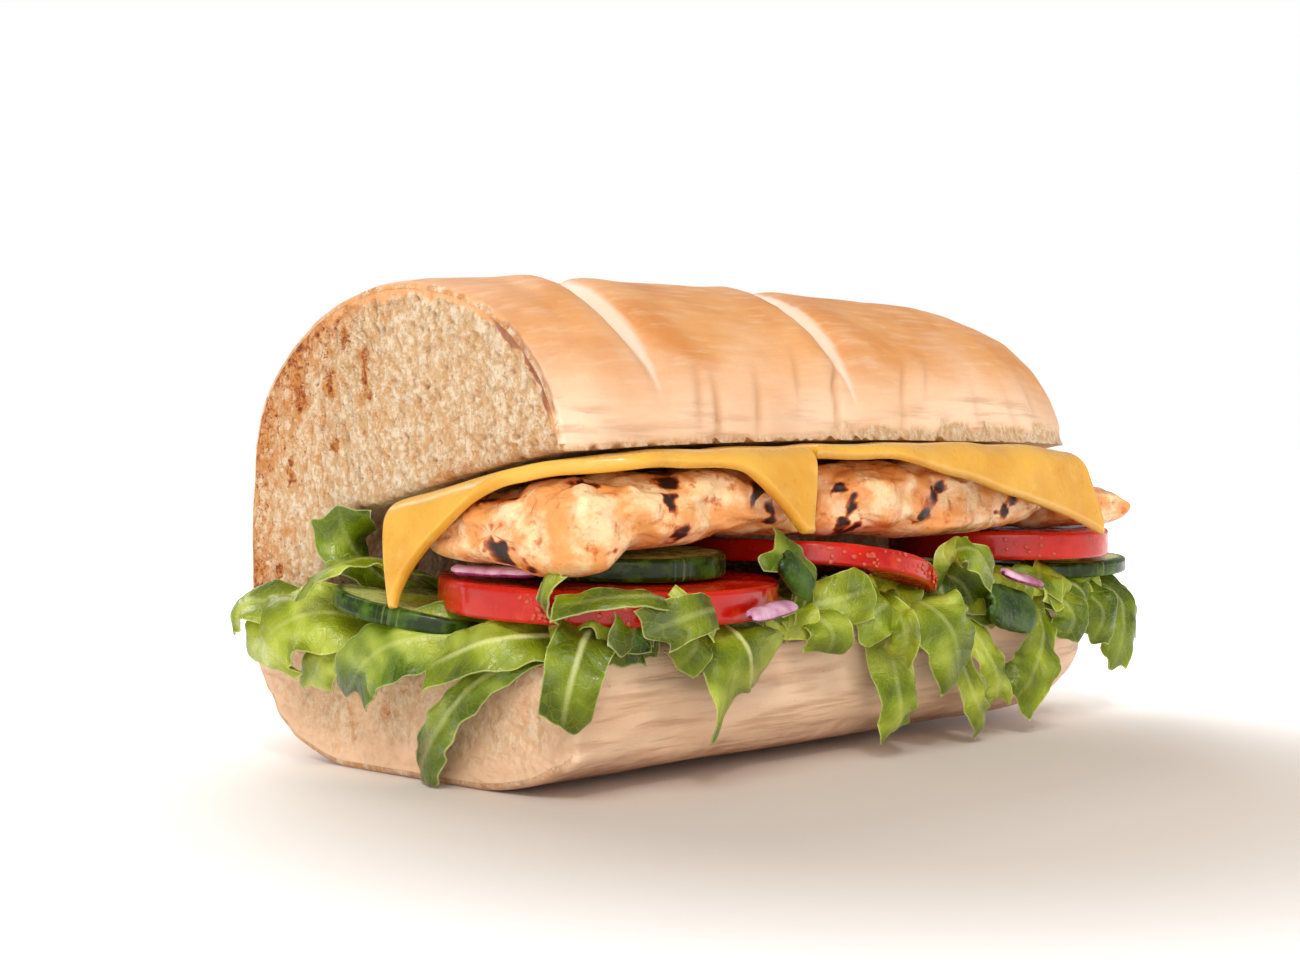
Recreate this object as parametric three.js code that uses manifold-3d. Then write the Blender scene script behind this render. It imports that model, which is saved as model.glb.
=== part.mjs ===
// A six-inch submarine sandwich: a soft white roll split along its front and hinged along its
// back, filled with lettuce, cucumber, tomato, onion, green pepper, grilled chicken and cheese.
// Units are millimetres. X runs along the roll from its cut end (-X) to its round heel (+X),
// the slit opens towards -Y, and Z is up. The origin ends at the middle of the box's underside.
import * as THREE from 'three';
import { mergeVertices } from 'three/addons/utils/BufferGeometryUtils.js';
import Module from 'manifold-3d';

// Roll
const LENGTH = 150;
const CUT_X = -LENGTH / 2;
const HEEL_X = LENGTH / 2;
const HEEL_START = 38;
const HEEL_POWER = 2.45;
const MIDDLE_Y = 1;
const CROWN_Z = 76.5;
const CROWN_BASE_Z = 46;
const CROWN_POWER_FRONT = 2.1;
const CROWN_POWER_BACK = 1.95;
const TOP_FRONT = 37.6;
const TOP_BACK = 38.7;
const BACK_BASE_Z = 40;
const BASE_FRONT = 40;
const BASE_BACK = 38.2;
const BASE_POWER_FRONT = 3.2;
const BASE_POWER_BACK = 3.3;
const BULGE_Z = 18;
const FLAT_BASE = 0.5;
const SCORES = [{ x: -43, depth: 1.3 }, { x: 4, depth: 1.1 }];
const SCORE_LEAN = 12;
const SCORE_BEND = 0.25;
const SCORE_HALF_WIDTH = 3;
const CUT_PINCH = 0.04;

// Slit between the two halves of the roll
const LIP_Z = 50;
const LIP_ARCH = 1.5;
const LIP_DROP = 12;
const FLOOR_LIP_Z = 23.3;
const FLOOR_Z = 20;
const FLOOR_LIP_FADE = 0.12;
const FLOOR_FILLET = 7;
const HINGE = 21;

// Fillings
const GAP = 0.4;
const CHEESE = 2.2;
const LEAF = 1;

const group = new THREE.Group();
const wasm = await Module();
wasm.setup();

const clamp = THREE.MathUtils.clamp;
const smooth = THREE.MathUtils.smoothstep;
const signedPower = (value, power) => Math.sign(value) * Math.abs(value) ** power;

// A smooth uneven value between about -1 and 1, the same on every run.
function uneven(a, b, seed) {
  const first = Math.sin(a * 1.31 + seed * 2.17) * Math.cos(b * 1.73 - seed * 1.37);
  const second = Math.sin(a * 0.57 - b * 0.91 + seed * 4.11);
  return 0.6 * first + 0.4 * second;
}

// Merges shared corners and drops the triangles that this makes flat.
function closed(geometry) {
  const merged = mergeVertices(geometry, 1e-3);
  const index = Array.from(merged.getIndex().array);
  const kept = [];
  for (let i = 0; i < index.length; i += 3) {
    const [a, b, c] = index.slice(i, i + 3);
    if (a !== b && b !== c && c !== a) kept.push(a, b, c);
  }
  merged.setIndex(kept);
  return merged;
}

// Builds a geometry from points and triangles.
function toGeometry(points, triangles) {
  const geometry = new THREE.BufferGeometry();
  geometry.setAttribute('position', new THREE.Float32BufferAttribute(points.flat(), 3));
  geometry.setIndex(triangles.flat());
  return closed(geometry);
}

// Skins a list of closed rings, each an array of [x, y, z], and closes both ends by splitting
// the ring into triangles, seen along X. Every ring runs clockwise in that view.
function ringSolid(given) {
  const flat = given[0].map(([, y, z]) => new THREE.Vector2(y, z));
  const rings = THREE.ShapeUtils.isClockWise(flat) ? given : given.map((ring) => [...ring].reverse());
  const count = rings[0].length;
  const triangles = [];
  for (let i = 0; i < rings.length - 1; i += 1) {
    for (let k = 0; k < count; k += 1) {
      const a = i * count + k;
      const b = i * count + (k + 1) % count;
      triangles.push([a, a + count, b], [b, a + count, b + count]);
    }
  }
  [0, rings.length - 1].forEach((i) => {
    const outline = rings[i].map(([, y, z]) => new THREE.Vector2(y, z));
    THREE.ShapeUtils.triangulateShape(outline, []).forEach(([a, b, c]) => {
      const face = [i * count + a, i * count + b, i * count + c];
      triangles.push(i === 0 ? face.reverse() : face);
    });
  });
  return toGeometry(rings.flat(), triangles);
}

// A thin sheet: middle(i, j) gives the point and thick(i, j) the half thickness. Both faces are
// split the same way, and a rim joins them.
function sheetSolid(columns, rows, middle, thick) {
  const grid = [];
  for (let i = 0; i <= columns; i += 1) {
    for (let j = 0; j <= rows; j += 1) {
      grid.push(new THREE.Vector3(...middle(i / columns, j / rows)));
    }
  }
  const at = (i, j) => grid[clamp(i, 0, columns) * (rows + 1) + clamp(j, 0, rows)];
  const upper = [];
  const lower = [];
  for (let i = 0; i <= columns; i += 1) {
    for (let j = 0; j <= rows; j += 1) {
      const along = at(i + 1, j).clone().sub(at(i - 1, j));
      const across = at(i, j + 1).clone().sub(at(i, j - 1));
      const normal = along.cross(across).normalize().multiplyScalar(thick(i / columns, j / rows));
      upper.push(at(i, j).clone().add(normal).toArray());
      lower.push(at(i, j).clone().sub(normal).toArray());
    }
  }
  const half = upper.length;
  const id = (i, j) => i * (rows + 1) + j;
  const triangles = [];
  for (let i = 0; i < columns; i += 1) {
    for (let j = 0; j < rows; j += 1) {
      const [a, b, c, d] = [id(i, j), id(i + 1, j), id(i + 1, j + 1), id(i, j + 1)];
      triangles.push([a, b, c], [a, c, d], [a + half, c + half, b + half], [a + half, d + half, c + half]);
    }
  }
  const rim = [];
  for (let i = 0; i < columns; i += 1) rim.push([id(i, 0), id(i + 1, 0)]);
  for (let j = 0; j < rows; j += 1) rim.push([id(columns, j), id(columns, j + 1)]);
  for (let i = columns; i > 0; i -= 1) rim.push([id(i, rows), id(i - 1, rows)]);
  for (let j = rows; j > 0; j -= 1) rim.push([id(0, j), id(0, j - 1)]);
  rim.forEach(([a, b]) => triangles.push([b, a, a + half], [b, a + half, b + half]));
  return toGeometry([...upper, ...lower], triangles);
}

// The same body with every corner moved out along its normal, used to keep neighbours clear.
function grown(geometry, distance) {
  const copy = geometry.clone();
  copy.computeVertexNormals();
  const position = copy.getAttribute('position');
  const normal = copy.getAttribute('normal');
  for (let i = 0; i < position.count; i += 1) {
    position.setXYZ(
      i,
      position.getX(i) + normal.getX(i) * distance,
      position.getY(i) + normal.getY(i) * distance,
      position.getZ(i) + normal.getZ(i) * distance,
    );
  }
  copy.deleteAttribute('normal');
  return copy;
}

function toManifold(geometry) {
  const merged = closed(geometry);
  return new wasm.Manifold(new wasm.Mesh({
    numProp: 3,
    vertProperties: new Float32Array(merged.getAttribute('position').array),
    triVerts: new Uint32Array(merged.getIndex().array),
  }));
}

function fromManifold(solid) {
  const mesh = solid.getMesh();
  const geometry = new THREE.BufferGeometry();
  geometry.setAttribute('position', new THREE.BufferAttribute(new Float32Array(mesh.vertProperties), 3));
  geometry.setIndex(Array.from(mesh.triVerts));
  return geometry;
}

const parts = {};

function addMesh(name, geometry, colour, roughness) {
  const material = new THREE.MeshStandardMaterial({ color: colour, roughness, metalness: 0 });
  const mesh = new THREE.Mesh(geometry, material);
  mesh.name = name;
  parts[name] = mesh;
  group.add(mesh);
  return mesh;
}

// The roll. A section is a C: round the outside from the front lip of the top half, over the
// crown, down the back and under the base, then back along the slit. It shrinks into the heel.
function heelScale(x) {
  const t = clamp((x - HEEL_START) / (HEEL_X - HEEL_START), 0, 1);
  return (1 - t ** HEEL_POWER) ** (1 / HEEL_POWER);
}

const lipZ = (x) => LIP_Z + LIP_ARCH * Math.sin(Math.PI * clamp((x - CUT_X) / LENGTH, 0, 1));

// Height of the slit's roof and floor at depth q, from 0 at the lips to 1 at the hinge.
const roofAt = (x, q) => lipZ(x) - LIP_DROP * Math.max(q, 0) ** 1.35;
const floorAt = (q) => {
  const deep = Math.max(q, 0);
  return FLOOR_Z + (FLOOR_LIP_Z - FLOOR_Z) * Math.exp(-deep / FLOOR_LIP_FADE) + FLOOR_FILLET * deep ** 6;
};

function hingeWallY(x) {
  const wrap = smooth(x, HEEL_START - 3, HEEL_X - 5);
  return MIDDLE_Y + heelScale(x) * (TOP_BACK - HINGE) * (1 - wrap);
}

const frontLipY = (x) => MIDDLE_Y - heelScale(x) * (TOP_FRONT - 0.3);
const depthAt = (x, y) => (y - frontLipY(x)) / (hingeWallY(x) - frontLipY(x));
const roofZ = (x, y) => roofAt(x, depthAt(x, y));
const floorZ = (x, y) => floorAt(depthAt(x, y));

function scoreDepth(x) {
  return SCORES.reduce((sum, score) => (
    sum + score.depth * Math.exp(-(((x - score.x) / SCORE_HALF_WIDTH) ** 2) * 1.5)
  ), 0);
}

function rollSection(x) {
  const plan = heelScale(x);
  const pinch = 1 - CUT_PINCH * Math.exp(-(x - CUT_X) / 5);
  const rise = (CROWN_Z - CROWN_BASE_Z) * pinch;
  const lip = lipZ(x);
  const start = Math.asin(((LIP_Z - CROWN_BASE_Z) / rise) ** (CROWN_POWER_FRONT / 2));
  const outside = [];
  const crownSteps = 14;
  for (let k = 0; k <= crownSteps; k += 1) {
    const angle = start + (Math.PI - start) * (k / crownSteps);
    const front = Math.cos(angle) > 0;
    const side = front ? TOP_FRONT : TOP_BACK;
    const power = 2 / (front ? CROWN_POWER_FRONT : CROWN_POWER_BACK);
    const y = MIDDLE_Y - plan * pinch * side * signedPower(Math.cos(angle), power);
    const groove = scoreDepth(x) * smooth(Math.sin(angle), 0.35, 0.8) * smooth(Math.cos(angle), -0.5, 0);
    const full = CROWN_BASE_Z + rise * Math.abs(Math.sin(angle)) ** power - groove;
    const z = lip + (full - LIP_Z) * plan ** 0.8;
    outside.push([y, full < LIP_Z ? full + (lip - LIP_Z) : z]);
  }
  const underSteps = 12;
  for (let k = 0; k <= underSteps; k += 1) {
    const angle = (k / underSteps) * Math.PI;
    const back = angle < Math.PI / 2;
    const side = back ? BASE_BACK : BASE_FRONT;
    const level = back ? BACK_BASE_Z : BULGE_Z;
    const power = 2 / (back ? BASE_POWER_BACK : BASE_POWER_FRONT);
    const y = MIDDLE_Y + plan ** 0.8 * side * signedPower(Math.cos(angle), power);
    const low = level - (level + FLAT_BASE) * Math.abs(Math.sin(angle)) ** power;
    const full = Math.max(0, low);
    outside.push([y, FLOOR_LIP_Z - (FLOOR_LIP_Z - full) * (full < FLOOR_LIP_Z ? plan ** 0.7 : 1)]);
  }
  const inside = [];
  const slitSteps = 5;
  const lipY = frontLipY(x);
  const wallY = hingeWallY(x);
  inside.push([lipY + 0.6 * plan, FLOOR_LIP_Z]);
  for (let k = 1; k <= slitSteps; k += 1) {
    const q = k / slitSteps;
    inside.push([lipY + (wallY - lipY) * q, floorAt(q)]);
  }
  for (let k = slitSteps; k >= 1; k -= 1) {
    const q = k / slitSteps;
    inside.push([lipY + (wallY - lipY) * q, roofAt(x, q)]);
  }
  return [...outside, ...inside];
}

function rollStations() {
  const list = [0, 3.5, 8, 14, 20];
  const straight = list.map((step) => CUT_X + step);
  SCORES.forEach((score) => [-3.5, 0, 3.5].forEach((step) => straight.push(score.x + step)));
  [-34, -25, -16, -9, 9, 17, 25, 32, HEEL_START].forEach((x) => straight.push(x));
  const heelSteps = 8;
  for (let k = 1; k <= heelSteps; k += 1) {
    const angle = (k / heelSteps) * THREE.MathUtils.degToRad(87);
    straight.push(HEEL_START + (HEEL_X - HEEL_START) * Math.sin(angle) ** (2 / HEEL_POWER));
  }
  return straight.sort((a, b) => a - b);
}

// How far a score leans towards the cut end on the crown's front, where it soon levels out.
function scoreLean(x, y, z) {
  const front = clamp((MIDDLE_Y - y) / TOP_FRONT, 0, 1);
  const along = smooth(x, CUT_X, -50) * (1 - smooth(x, 20, 62));
  return SCORE_LEAN * (1 - Math.exp(-front / SCORE_BEND)) * along * smooth(z, LIP_Z - 6, LIP_Z + 6);
}

function makeRoll() {
  return ringSolid(rollStations().map((x) => (
    rollSection(x).map(([y, z]) => [x - scoreLean(x, y, z), y, z])
  )));
}

// A round slice with a slightly bulging skin, lying flat and then tilted about its centre.
// tiltX lifts its back edge, and tiltY lowers its right-hand edge.
function slice({ radius, thickness, at, tiltX = 0, tiltY = 0, bow = 0 }) {
  const half = thickness / 2;
  const edge = [[0, -half], [radius - 0.9, -half], [radius, -half * 0.35], [radius, half * 0.35],
    [radius - 0.9, half], [0, half]];
  const profile = edge.map(([r, z]) => new THREE.Vector2(r, z));
  const lathe = new THREE.LatheGeometry(profile, 26);
  lathe.rotateX(Math.PI / 2);
  lathe.deleteAttribute('uv');
  lathe.deleteAttribute('normal');
  const geometry = closed(lathe);
  const position = geometry.getAttribute('position');
  for (let i = 0; i < position.count; i += 1) {
    const x = position.getX(i);
    position.setZ(i, position.getZ(i) - bow * (x / radius) ** 2);
  }
  geometry.rotateX(THREE.MathUtils.degToRad(tiltX));
  geometry.rotateY(THREE.MathUtils.degToRad(tiltY));
  geometry.translate(...at);
  return geometry;
}

// The cheese lies on the chicken and falls over its front and its left end. A point of the flat
// slice that lies past the edge of the chicken hangs down by the length that is past it.
const EDGE_X = -79.5;
const EDGE_Y = -44.2;
const EDGE_ROUND = 14;
const cheeseZ = (x, y) => (
  roofZ(clamp(x, CUT_X, HEEL_START), Math.max(y, -36)) - GAP - CHEESE / 2 - 0.1
  - 2.2 * clamp((x - 18) / 30, 0, 2) ** 2 - 1.6 * clamp((-66 - x) / 14, 0, 1) ** 2
);

function drape(x, y) {
  const cornerX = EDGE_X + EDGE_ROUND;
  const cornerY = EDGE_Y + EDGE_ROUND;
  const awayX = Math.min(x - cornerX, 0);
  const awayY = Math.min(y - cornerY, 0);
  const away = Math.hypot(awayX, awayY);
  const past = Math.max(away - EDGE_ROUND, 0);
  if (past === 0) return [x, y, cheeseZ(x, y)];
  const bend = 3;
  const turn = Math.min(past / bend, 1.45);
  const out = bend * Math.sin(turn) + Math.max(past - 1.45 * bend, 0) * Math.cos(1.45);
  const down = bend * (1 - Math.cos(turn)) + Math.max(past - 1.45 * bend, 0) * Math.sin(1.45);
  const reach = (EDGE_ROUND + out) / away;
  const heldX = x < cornerX ? cornerX + awayX * reach : x;
  const heldY = y < cornerY ? cornerY + awayY * reach : y;
  const topX = x < cornerX ? cornerX + awayX * (EDGE_ROUND / away) : x;
  const topY = y < cornerY ? cornerY + awayY * (EDGE_ROUND / away) : y;
  return [heldX, heldY, cheeseZ(topX, topY) - down];
}

function makeCheese({ columns, rows, from, to, cornerShift, frontEdge, backEdge }) {
  const middle = (u, v) => {
    const straight = from + (to - from) * u;
    const y = backEdge(straight) + (frontEdge(straight) - backEdge(straight)) * v;
    const x = straight + cornerShift * u ** 4 * clamp((EDGE_Y + 6 - y) / 18, 0, 1);
    const [px, py, pz] = drape(x, y);
    return [px, py, pz + 0.25 * uneven(x * 0.25, y * 0.3, 3) * v];
  };
  return sheetSolid(columns, rows, middle, () => CHEESE / 2);
}

const leftFront = (x) => (
  x > -66 ? EDGE_Y - 0.8 - 13 * clamp((x + 62) / 28, 0, 1) ** 1.7
    : -9 + (EDGE_Y + 8.2) * (1 - clamp((-66 - x) / 30.5, 0, 1) ** 2) ** 2.2
);
const leftBack = (x) => 2 - 7 * smooth(-x, 64, 77) - 3 * clamp((-84 - x) / 12.5, 0, 1) ** 1.5;
const rightFront = (x) => EDGE_Y - 0.6 - 17.5 * clamp((x + 26) / 78, 0, 1) ** 1.15;
const rightBack = (x) => 0 - 14 * clamp((x - 30) / 20, 0, 1) ** 1.5;

// Chicken: lumpy strips laid end to end, between the cheese above and the vegetables below.
const chickenTop = (x, y) => cheeseZ(x, y) - CHEESE / 2 - GAP;
const chickenBottom = (x, y) => (
  34.9 + 2.3 * Math.exp(-(((x + 42) / 12) ** 2)) + 0.7 * smooth(x, -34, -10)
  - 1.1 * Math.exp(-(((x - 8) / 13) ** 2)) - 1.2 * smooth(-x, 68, 74) + 0.02 * (y + 44)
);

function makeChicken({ from, to, front, back, lumps, seed, stations }) {
  const rings = [];
  const around = 16;
  for (let i = 0; i <= stations; i += 1) {
    const angle = (i / stations) * Math.PI;
    const along = -Math.cos(angle);
    const x = (from + to) / 2 + ((to - from) / 2) * Math.sign(along) * Math.abs(along) ** 0.8;
    const end = Math.max(1 - Math.abs((2 * x - from - to) / (to - from)) ** 7, 0.012) ** (1 / 3);
    const ring = [];
    for (let k = 0; k < around; k += 1) {
      const turn = (k / around) * Math.PI * 2;
      const bumpy = 1 + lumps * (uneven(x * 0.22, turn * 1.4, seed) - 0.45);
      const middleY = (front + back) / 2;
      const y = middleY - ((back - front) / 2) * end ** 0.7 * bumpy * signedPower(Math.cos(turn), 0.6);
      const held = clamp(y, front, back);
      const top = chickenTop(x, held);
      const bottom = chickenBottom(x, held);
      const height = ((top - bottom) / 2) * end * bumpy;
      ring.push([x, y, (top + bottom) / 2 + height * signedPower(Math.sin(turn), 0.55)]);
    }
    rings.push(ring);
  }
  return ringSolid(rings);
}

// A curved stick or flake of onion or pepper: a bent bar with rounded corners.
function flake({ from, to, width, thickness, arch = 0, lift = [0, -0.4, 1] }) {
  const start = new THREE.Vector3(...from);
  const end = new THREE.Vector3(...to);
  const up = new THREE.Vector3(...lift).normalize();
  const along = end.clone().sub(start).normalize();
  const side = along.clone().cross(up).normalize();
  const face = side.clone().cross(along).normalize();
  const middle = (u, v) => {
    const taper = 1 - 0.25 * (2 * u - 1) ** 4;
    const across = (v - 0.5) * width * taper;
    const curve = arch * Math.sin(Math.PI * u) + 0.12 * width * Math.cos(Math.PI * (v - 0.5));
    return start.clone().lerp(end, u)
      .addScaledVector(side, across)
      .addScaledVector(face, curve)
      .toArray();
  };
  return sheetSolid(5, 2, middle, () => thickness / 2);
}

// A lettuce leaf: a thin sheet carried along a curve through its root, middle and tip. widths
// are its half widths there, facing is where its upper face looks, and ruffle is the wave's height.
function leaf({ root, middle, tip, widths, facing, ruffle = 0.6, rows = 2, seed }) {
  const a = new THREE.Vector3(...root);
  const b = new THREE.Vector3(...middle);
  const c = new THREE.Vector3(...tip);
  const control = b.clone().multiplyScalar(2).addScaledVector(a, -0.5).addScaledVector(c, -0.5);
  const curve = new THREE.QuadraticBezierCurve3(a, control, c);
  const look = new THREE.Vector3(...facing).normalize();
  const point = (u, v) => {
    const centre = curve.getPoint(u);
    const along = curve.getTangent(u);
    const side = along.clone().cross(look).normalize();
    const face = side.clone().cross(along).normalize();
    const [w0, w1, w2] = widths;
    const half = w0 * (1 - u) * (1 - 2 * u) + 4 * w1 * u * (1 - u) + w2 * u * (2 * u - 1);
    const s = 2 * v - 1;
    const ripple = uneven(u * 9, s * 2.2, seed) * (0.35 + Math.abs(s));
    const wave = Math.min(u * 2.5, 1) * ruffle * (ripple - 0.8 * s * s);
    return centre.addScaledVector(side, half * s).addScaledVector(face, wave).toArray();
  };
  return sheetSolid(5, rows, point, () => LEAF / 2);
}

const LEAVES = [
  // Out of the cut end, from the hinge round to the front corner.
  { root: [-52, 9, 25.5], middle: [-70, 12, 30], tip: [-77.5, 12, 41],
    widths: [3, 4.4, 2.5], facing: [-0.7, -0.3, 1], rows: 3 },
  { root: [-54, 11, 25.5], middle: [-76, 6, 33], tip: [-84, 12.5, 28.3],
    widths: [2.5, 2.4, 1], facing: [-0.5, -0.2, 1] },
  { root: [-68, 3, 21.6], middle: [-81, 21, 26], tip: [-83.5, 31, 24],
    widths: [4, 4.4, 1.5], facing: [-0.8, -0.3, 0.8], ruffle: 1, rows: 3 },
  { root: [-69, 2, 21.4], middle: [-83, 13, 24.5], tip: [-85.5, 20.5, 17.5],
    widths: [5, 6.8, 3.4], facing: [-0.9, -0.3, 0.7], ruffle: 1.1, rows: 4 },
  { root: [-70, 2, 21.4], middle: [-80, 8.5, 20.4], tip: [-81, 14, 13.2],
    widths: [3, 3.2, 1.6], facing: [-1, -0.3, 0.4] },
  { root: [-66, -20, 21.8], middle: [-82, -8, 21.6], tip: [-83, 2.5, 13.4],
    widths: [5, 5.6, 0.9], facing: [-0.9, -0.5, 0.6], rows: 4 },
  { root: [-66, -30, 22.6], middle: [-79, -26, 22.8], tip: [-82, -15, 18.6],
    widths: [5, 4.4, 1.6], facing: [-0.7, -0.6, 0.8], rows: 3 },
  { root: [-70, -33, 22.6], middle: [-80.5, -22, 16], tip: [-78, -8.5, 2.8],
    widths: [2, 2.6, 2.6], facing: [-1, -0.35, 0.5] },
  // Over the front lip, from the cut end to the heel.
  { root: [-72, -34, 24.4], middle: [-78.6, -34.6, 29], tip: [-77.4, -36.8, 33.4],
    widths: [2.4, 1.4, 0.8], facing: [-1, 0.2, 0.2], ruffle: 0.3 },
  { root: [-68, -34, 24.4], middle: [-77.4, -40.4, 22], tip: [-78.4, -38.2, 12.2],
    widths: [4, 4.4, 1], facing: [-0.7, -0.8, 0.4], rows: 3 },
  { root: [-58, -42, 24.5], middle: [-69.5, -47.8, 29.4], tip: [-78.4, -39, 28.6],
    widths: [1.8, 1.8, 1.4], facing: [-0.4, -0.7, 1], ruffle: 0.3 },
  { root: [-52, -40, 24.5], middle: [-62, -50.6, 27.6], tip: [-70, -47.6, 25.2],
    widths: [2, 2.8, 2], facing: [-0.3, -1, 0.3], ruffle: 0.3 },
  { root: [-67.5, -48.6, 30.8], middle: [-64.5, -50.6, 27.7], tip: [-60.5, -50.6, 24.3],
    widths: [1, 1.1, 0.8], facing: [-0.4, -1, 0.5], ruffle: 0.2 },
  { root: [-48, -36, 24.4], middle: [-51, -47, 22.2], tip: [-47, -44.8, 14.4],
    widths: [7, 7.8, 5.4], facing: [-0.2, -1, 0.35], ruffle: 0.8, rows: 4 },
  { root: [-57, -36, 24.4], middle: [-60, -46, 23.4], tip: [-61.5, -44.6, 19.6],
    widths: [3, 3, 1], facing: [-0.3, -1, 0.3] },
  { root: [-30, -41, 25], middle: [-34.5, -45, 31.4], tip: [-40.5, -43.2, 35.4],
    widths: [2.4, 2.8, 2.2], facing: [-0.4, -1, 0.5] },
  { root: [-30, -37, 24.9], middle: [-26, -43.5, 26.4], tip: [-19.8, -46.6, 28],
    widths: [3.6, 4, 2], facing: [-0.4, -1, 0.4], ruffle: 0.9, rows: 3 },
  { root: [-29, -37, 24.6], middle: [-29, -45.4, 23.4], tip: [-28, -44.6, 18.8],
    widths: [3.4, 3.8, 2.2], facing: [-0.3, -1, 0.4], rows: 3 },
  { root: [-8, -37, 25], middle: [-15, -46.4, 26], tip: [-21, -45, 22.6],
    widths: [4.6, 4.6, 1.4], facing: [-0.3, -1, 0.4], ruffle: 1, rows: 3 },
  { root: [0, -37, 25], middle: [-2, -48, 22.4], tip: [3.5, -47, 12],
    widths: [5, 5.8, 1.6], facing: [-0.35, -1, 0.4], ruffle: 0.8, rows: 4 },
  { root: [-8, -37.5, 25.2], middle: [-14, -49, 23], tip: [-13.5, -47.4, 17],
    widths: [2.2, 2.2, 1.4], facing: [-0.9, -0.8, 0.2], ruffle: 1.2 },
  { root: [-7, -37, 24.4], middle: [-10.4, -45, 12.4], tip: [-9, -43.6, 4.6],
    widths: [3.4, 4, 0.7], facing: [-0.3, -1, 0.15], rows: 3 },
  { root: [12, -37, 24.8], middle: [7, -45, 33.2], tip: [14.5, -46.6, 28.8],
    widths: [2.4, 2.8, 2], facing: [-0.5, -1, 0.8], ruffle: 0.9 },
  { root: [14, -37, 24.4], middle: [17.6, -44, 14], tip: [20.4, -43, 6.6],
    widths: [2.6, 2.8, 1.8], facing: [-0.3, -1, 0.2] },
  { root: [10, -37, 24.4], middle: [9.6, -44.8, 11.5], tip: [17, -43, 3.2],
    widths: [2.2, 2.8, 1], facing: [-0.3, -1, 0.2] },
  { root: [44, -34, 24.8], middle: [34, -43.6, 15.6], tip: [27, -43, 7],
    widths: [4, 4.2, 2.6], facing: [-0.3, -1, 0.25], ruffle: 0.8, rows: 3 },
  { root: [42, -34, 24.8], middle: [44, -43, 21.4], tip: [42.6, -42.6, 16],
    widths: [3.8, 3.6, 0.9], facing: [-0.3, -1, 0.5], rows: 3 },
  { root: [53, -30, 24.8], middle: [54.5, -42, 22], tip: [54, -42, 15.4],
    widths: [4.4, 4.2, 0.9], facing: [-0.3, -1, 0.5], rows: 3 },
  { root: [60, -27, 24.8], middle: [66, -39, 22.4], tip: [65, -40, 10.4],
    widths: [3.6, 4.2, 1], facing: [-0.2, -1, 0.5], rows: 3 },
  { root: [64, -22, 24.8], middle: [76.5, -33, 23], tip: [78, -36, 12.8],
    widths: [3, 3, 0.9], facing: [0.2, -1, 0.6] },
];

// The bed that the leaves grow from: a wavy layer on the floor of the slit, out over its lip.
function lettuceBed() {
  const fromX = CUT_X + 1;
  const toX = 67;
  const middle = (u, v) => {
    const x = fromX + (toX - fromX) * u;
    const front = frontLipY(x) + 0.4;
    const back = Math.min(hingeWallY(x) - 5, 13);
    const y = front + (back - front) * v;
    return [x, y, floorZ(x, y) + GAP + 1.05 + 0.15 * uneven(x * 0.3, y * 0.3, 5)];
  };
  return sheetSolid(15, 4, middle, (u, v) => 0.7 + 0.15 * uneven(u * 30, v * 9, 8));
}

function makeLettuce(neighbours) {
  let heap = toManifold(lettuceBed());
  LEAVES.forEach((spec, index) => {
    heap = heap.add(toManifold(leaf({ seed: index * 1.7 + 1, ...spec })));
  });
  neighbours.forEach((name) => {
    heap = heap.subtract(toManifold(grown(parts[name].geometry, GAP + 0.05)));
  });
  const pieces = heap.decompose();
  pieces.sort((first, second) => second.volume() - first.volume());
  return fromManifold(pieces[0]);
}

const BREAD = 0xd9a56b;
const TOMATO = 0xc9281c;
const CUCUMBER = 0x4f7a35;
const CHICKEN = 0xe3b27e;
const CHEESE_YELLOW = 0xf0b23a;
const ONION = 0xa84a86;
const PEPPER = 0x1f6b25;
const LETTUCE = 0x8fb32f;

addMesh('roll', makeRoll(), BREAD, 0.75);

const rounds = {
  tomato_1: { radius: 26, thickness: 5, at: [-53, -22, 28.3], tiltX: 1.8, colour: TOMATO },
  tomato_2: { radius: 22, thickness: 3.6, at: [-9.7, -25.5, 31.6], tiltY: 12.2, bow: 2, colour: TOMATO },
  tomato_3: { radius: 20, thickness: 5, at: [48, -25, 32.6], colour: TOMATO },
  cucumber_1: { radius: 15.5, thickness: 3, at: [-68.9, 0, 25], tiltX: 9, tiltY: 6, colour: CUCUMBER },
  cucumber_2: { radius: 18, thickness: 3.5, at: [-51, -20.5, 32.95], tiltX: 1.8, colour: CUCUMBER },
  cucumber_3: { radius: 18, thickness: 2.8, at: [58.8, -25, 27.8], tiltY: -1.5, colour: CUCUMBER },
};
Object.entries(rounds).forEach(([name, spec]) => addMesh(name, slice(spec), spec.colour, 0.3));

const strips = {
  chicken_left: { from: -81, to: -24.5, front: -44.4, back: -8, lumps: 0.05, seed: 2, stations: 13 },
  chicken_middle: { from: -23.5, to: 41, front: -44, back: -9, lumps: 0.05, seed: 5, stations: 14 },
  chicken_right: { from: 42, to: 67, front: -43.4, back: -14, lumps: 0.06, seed: 9, stations: 9 },
};
Object.entries(strips).forEach(([name, spec]) => addMesh(name, makeChicken(spec), CHICKEN, 0.4));

const slices = {
  cheese_left: {
    columns: 20, rows: 7, from: -96.5, to: -31, cornerShift: -5, frontEdge: leftFront, backEdge: leftBack,
  },
  cheese_right: {
    columns: 16, rows: 7, from: -30.3, to: 38.5, cornerShift: 8, frontEdge: rightFront, backEdge: rightBack,
  },
};
Object.entries(slices).forEach(([name, spec]) => addMesh(name, makeCheese(spec), CHEESE_YELLOW, 0.3));

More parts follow.
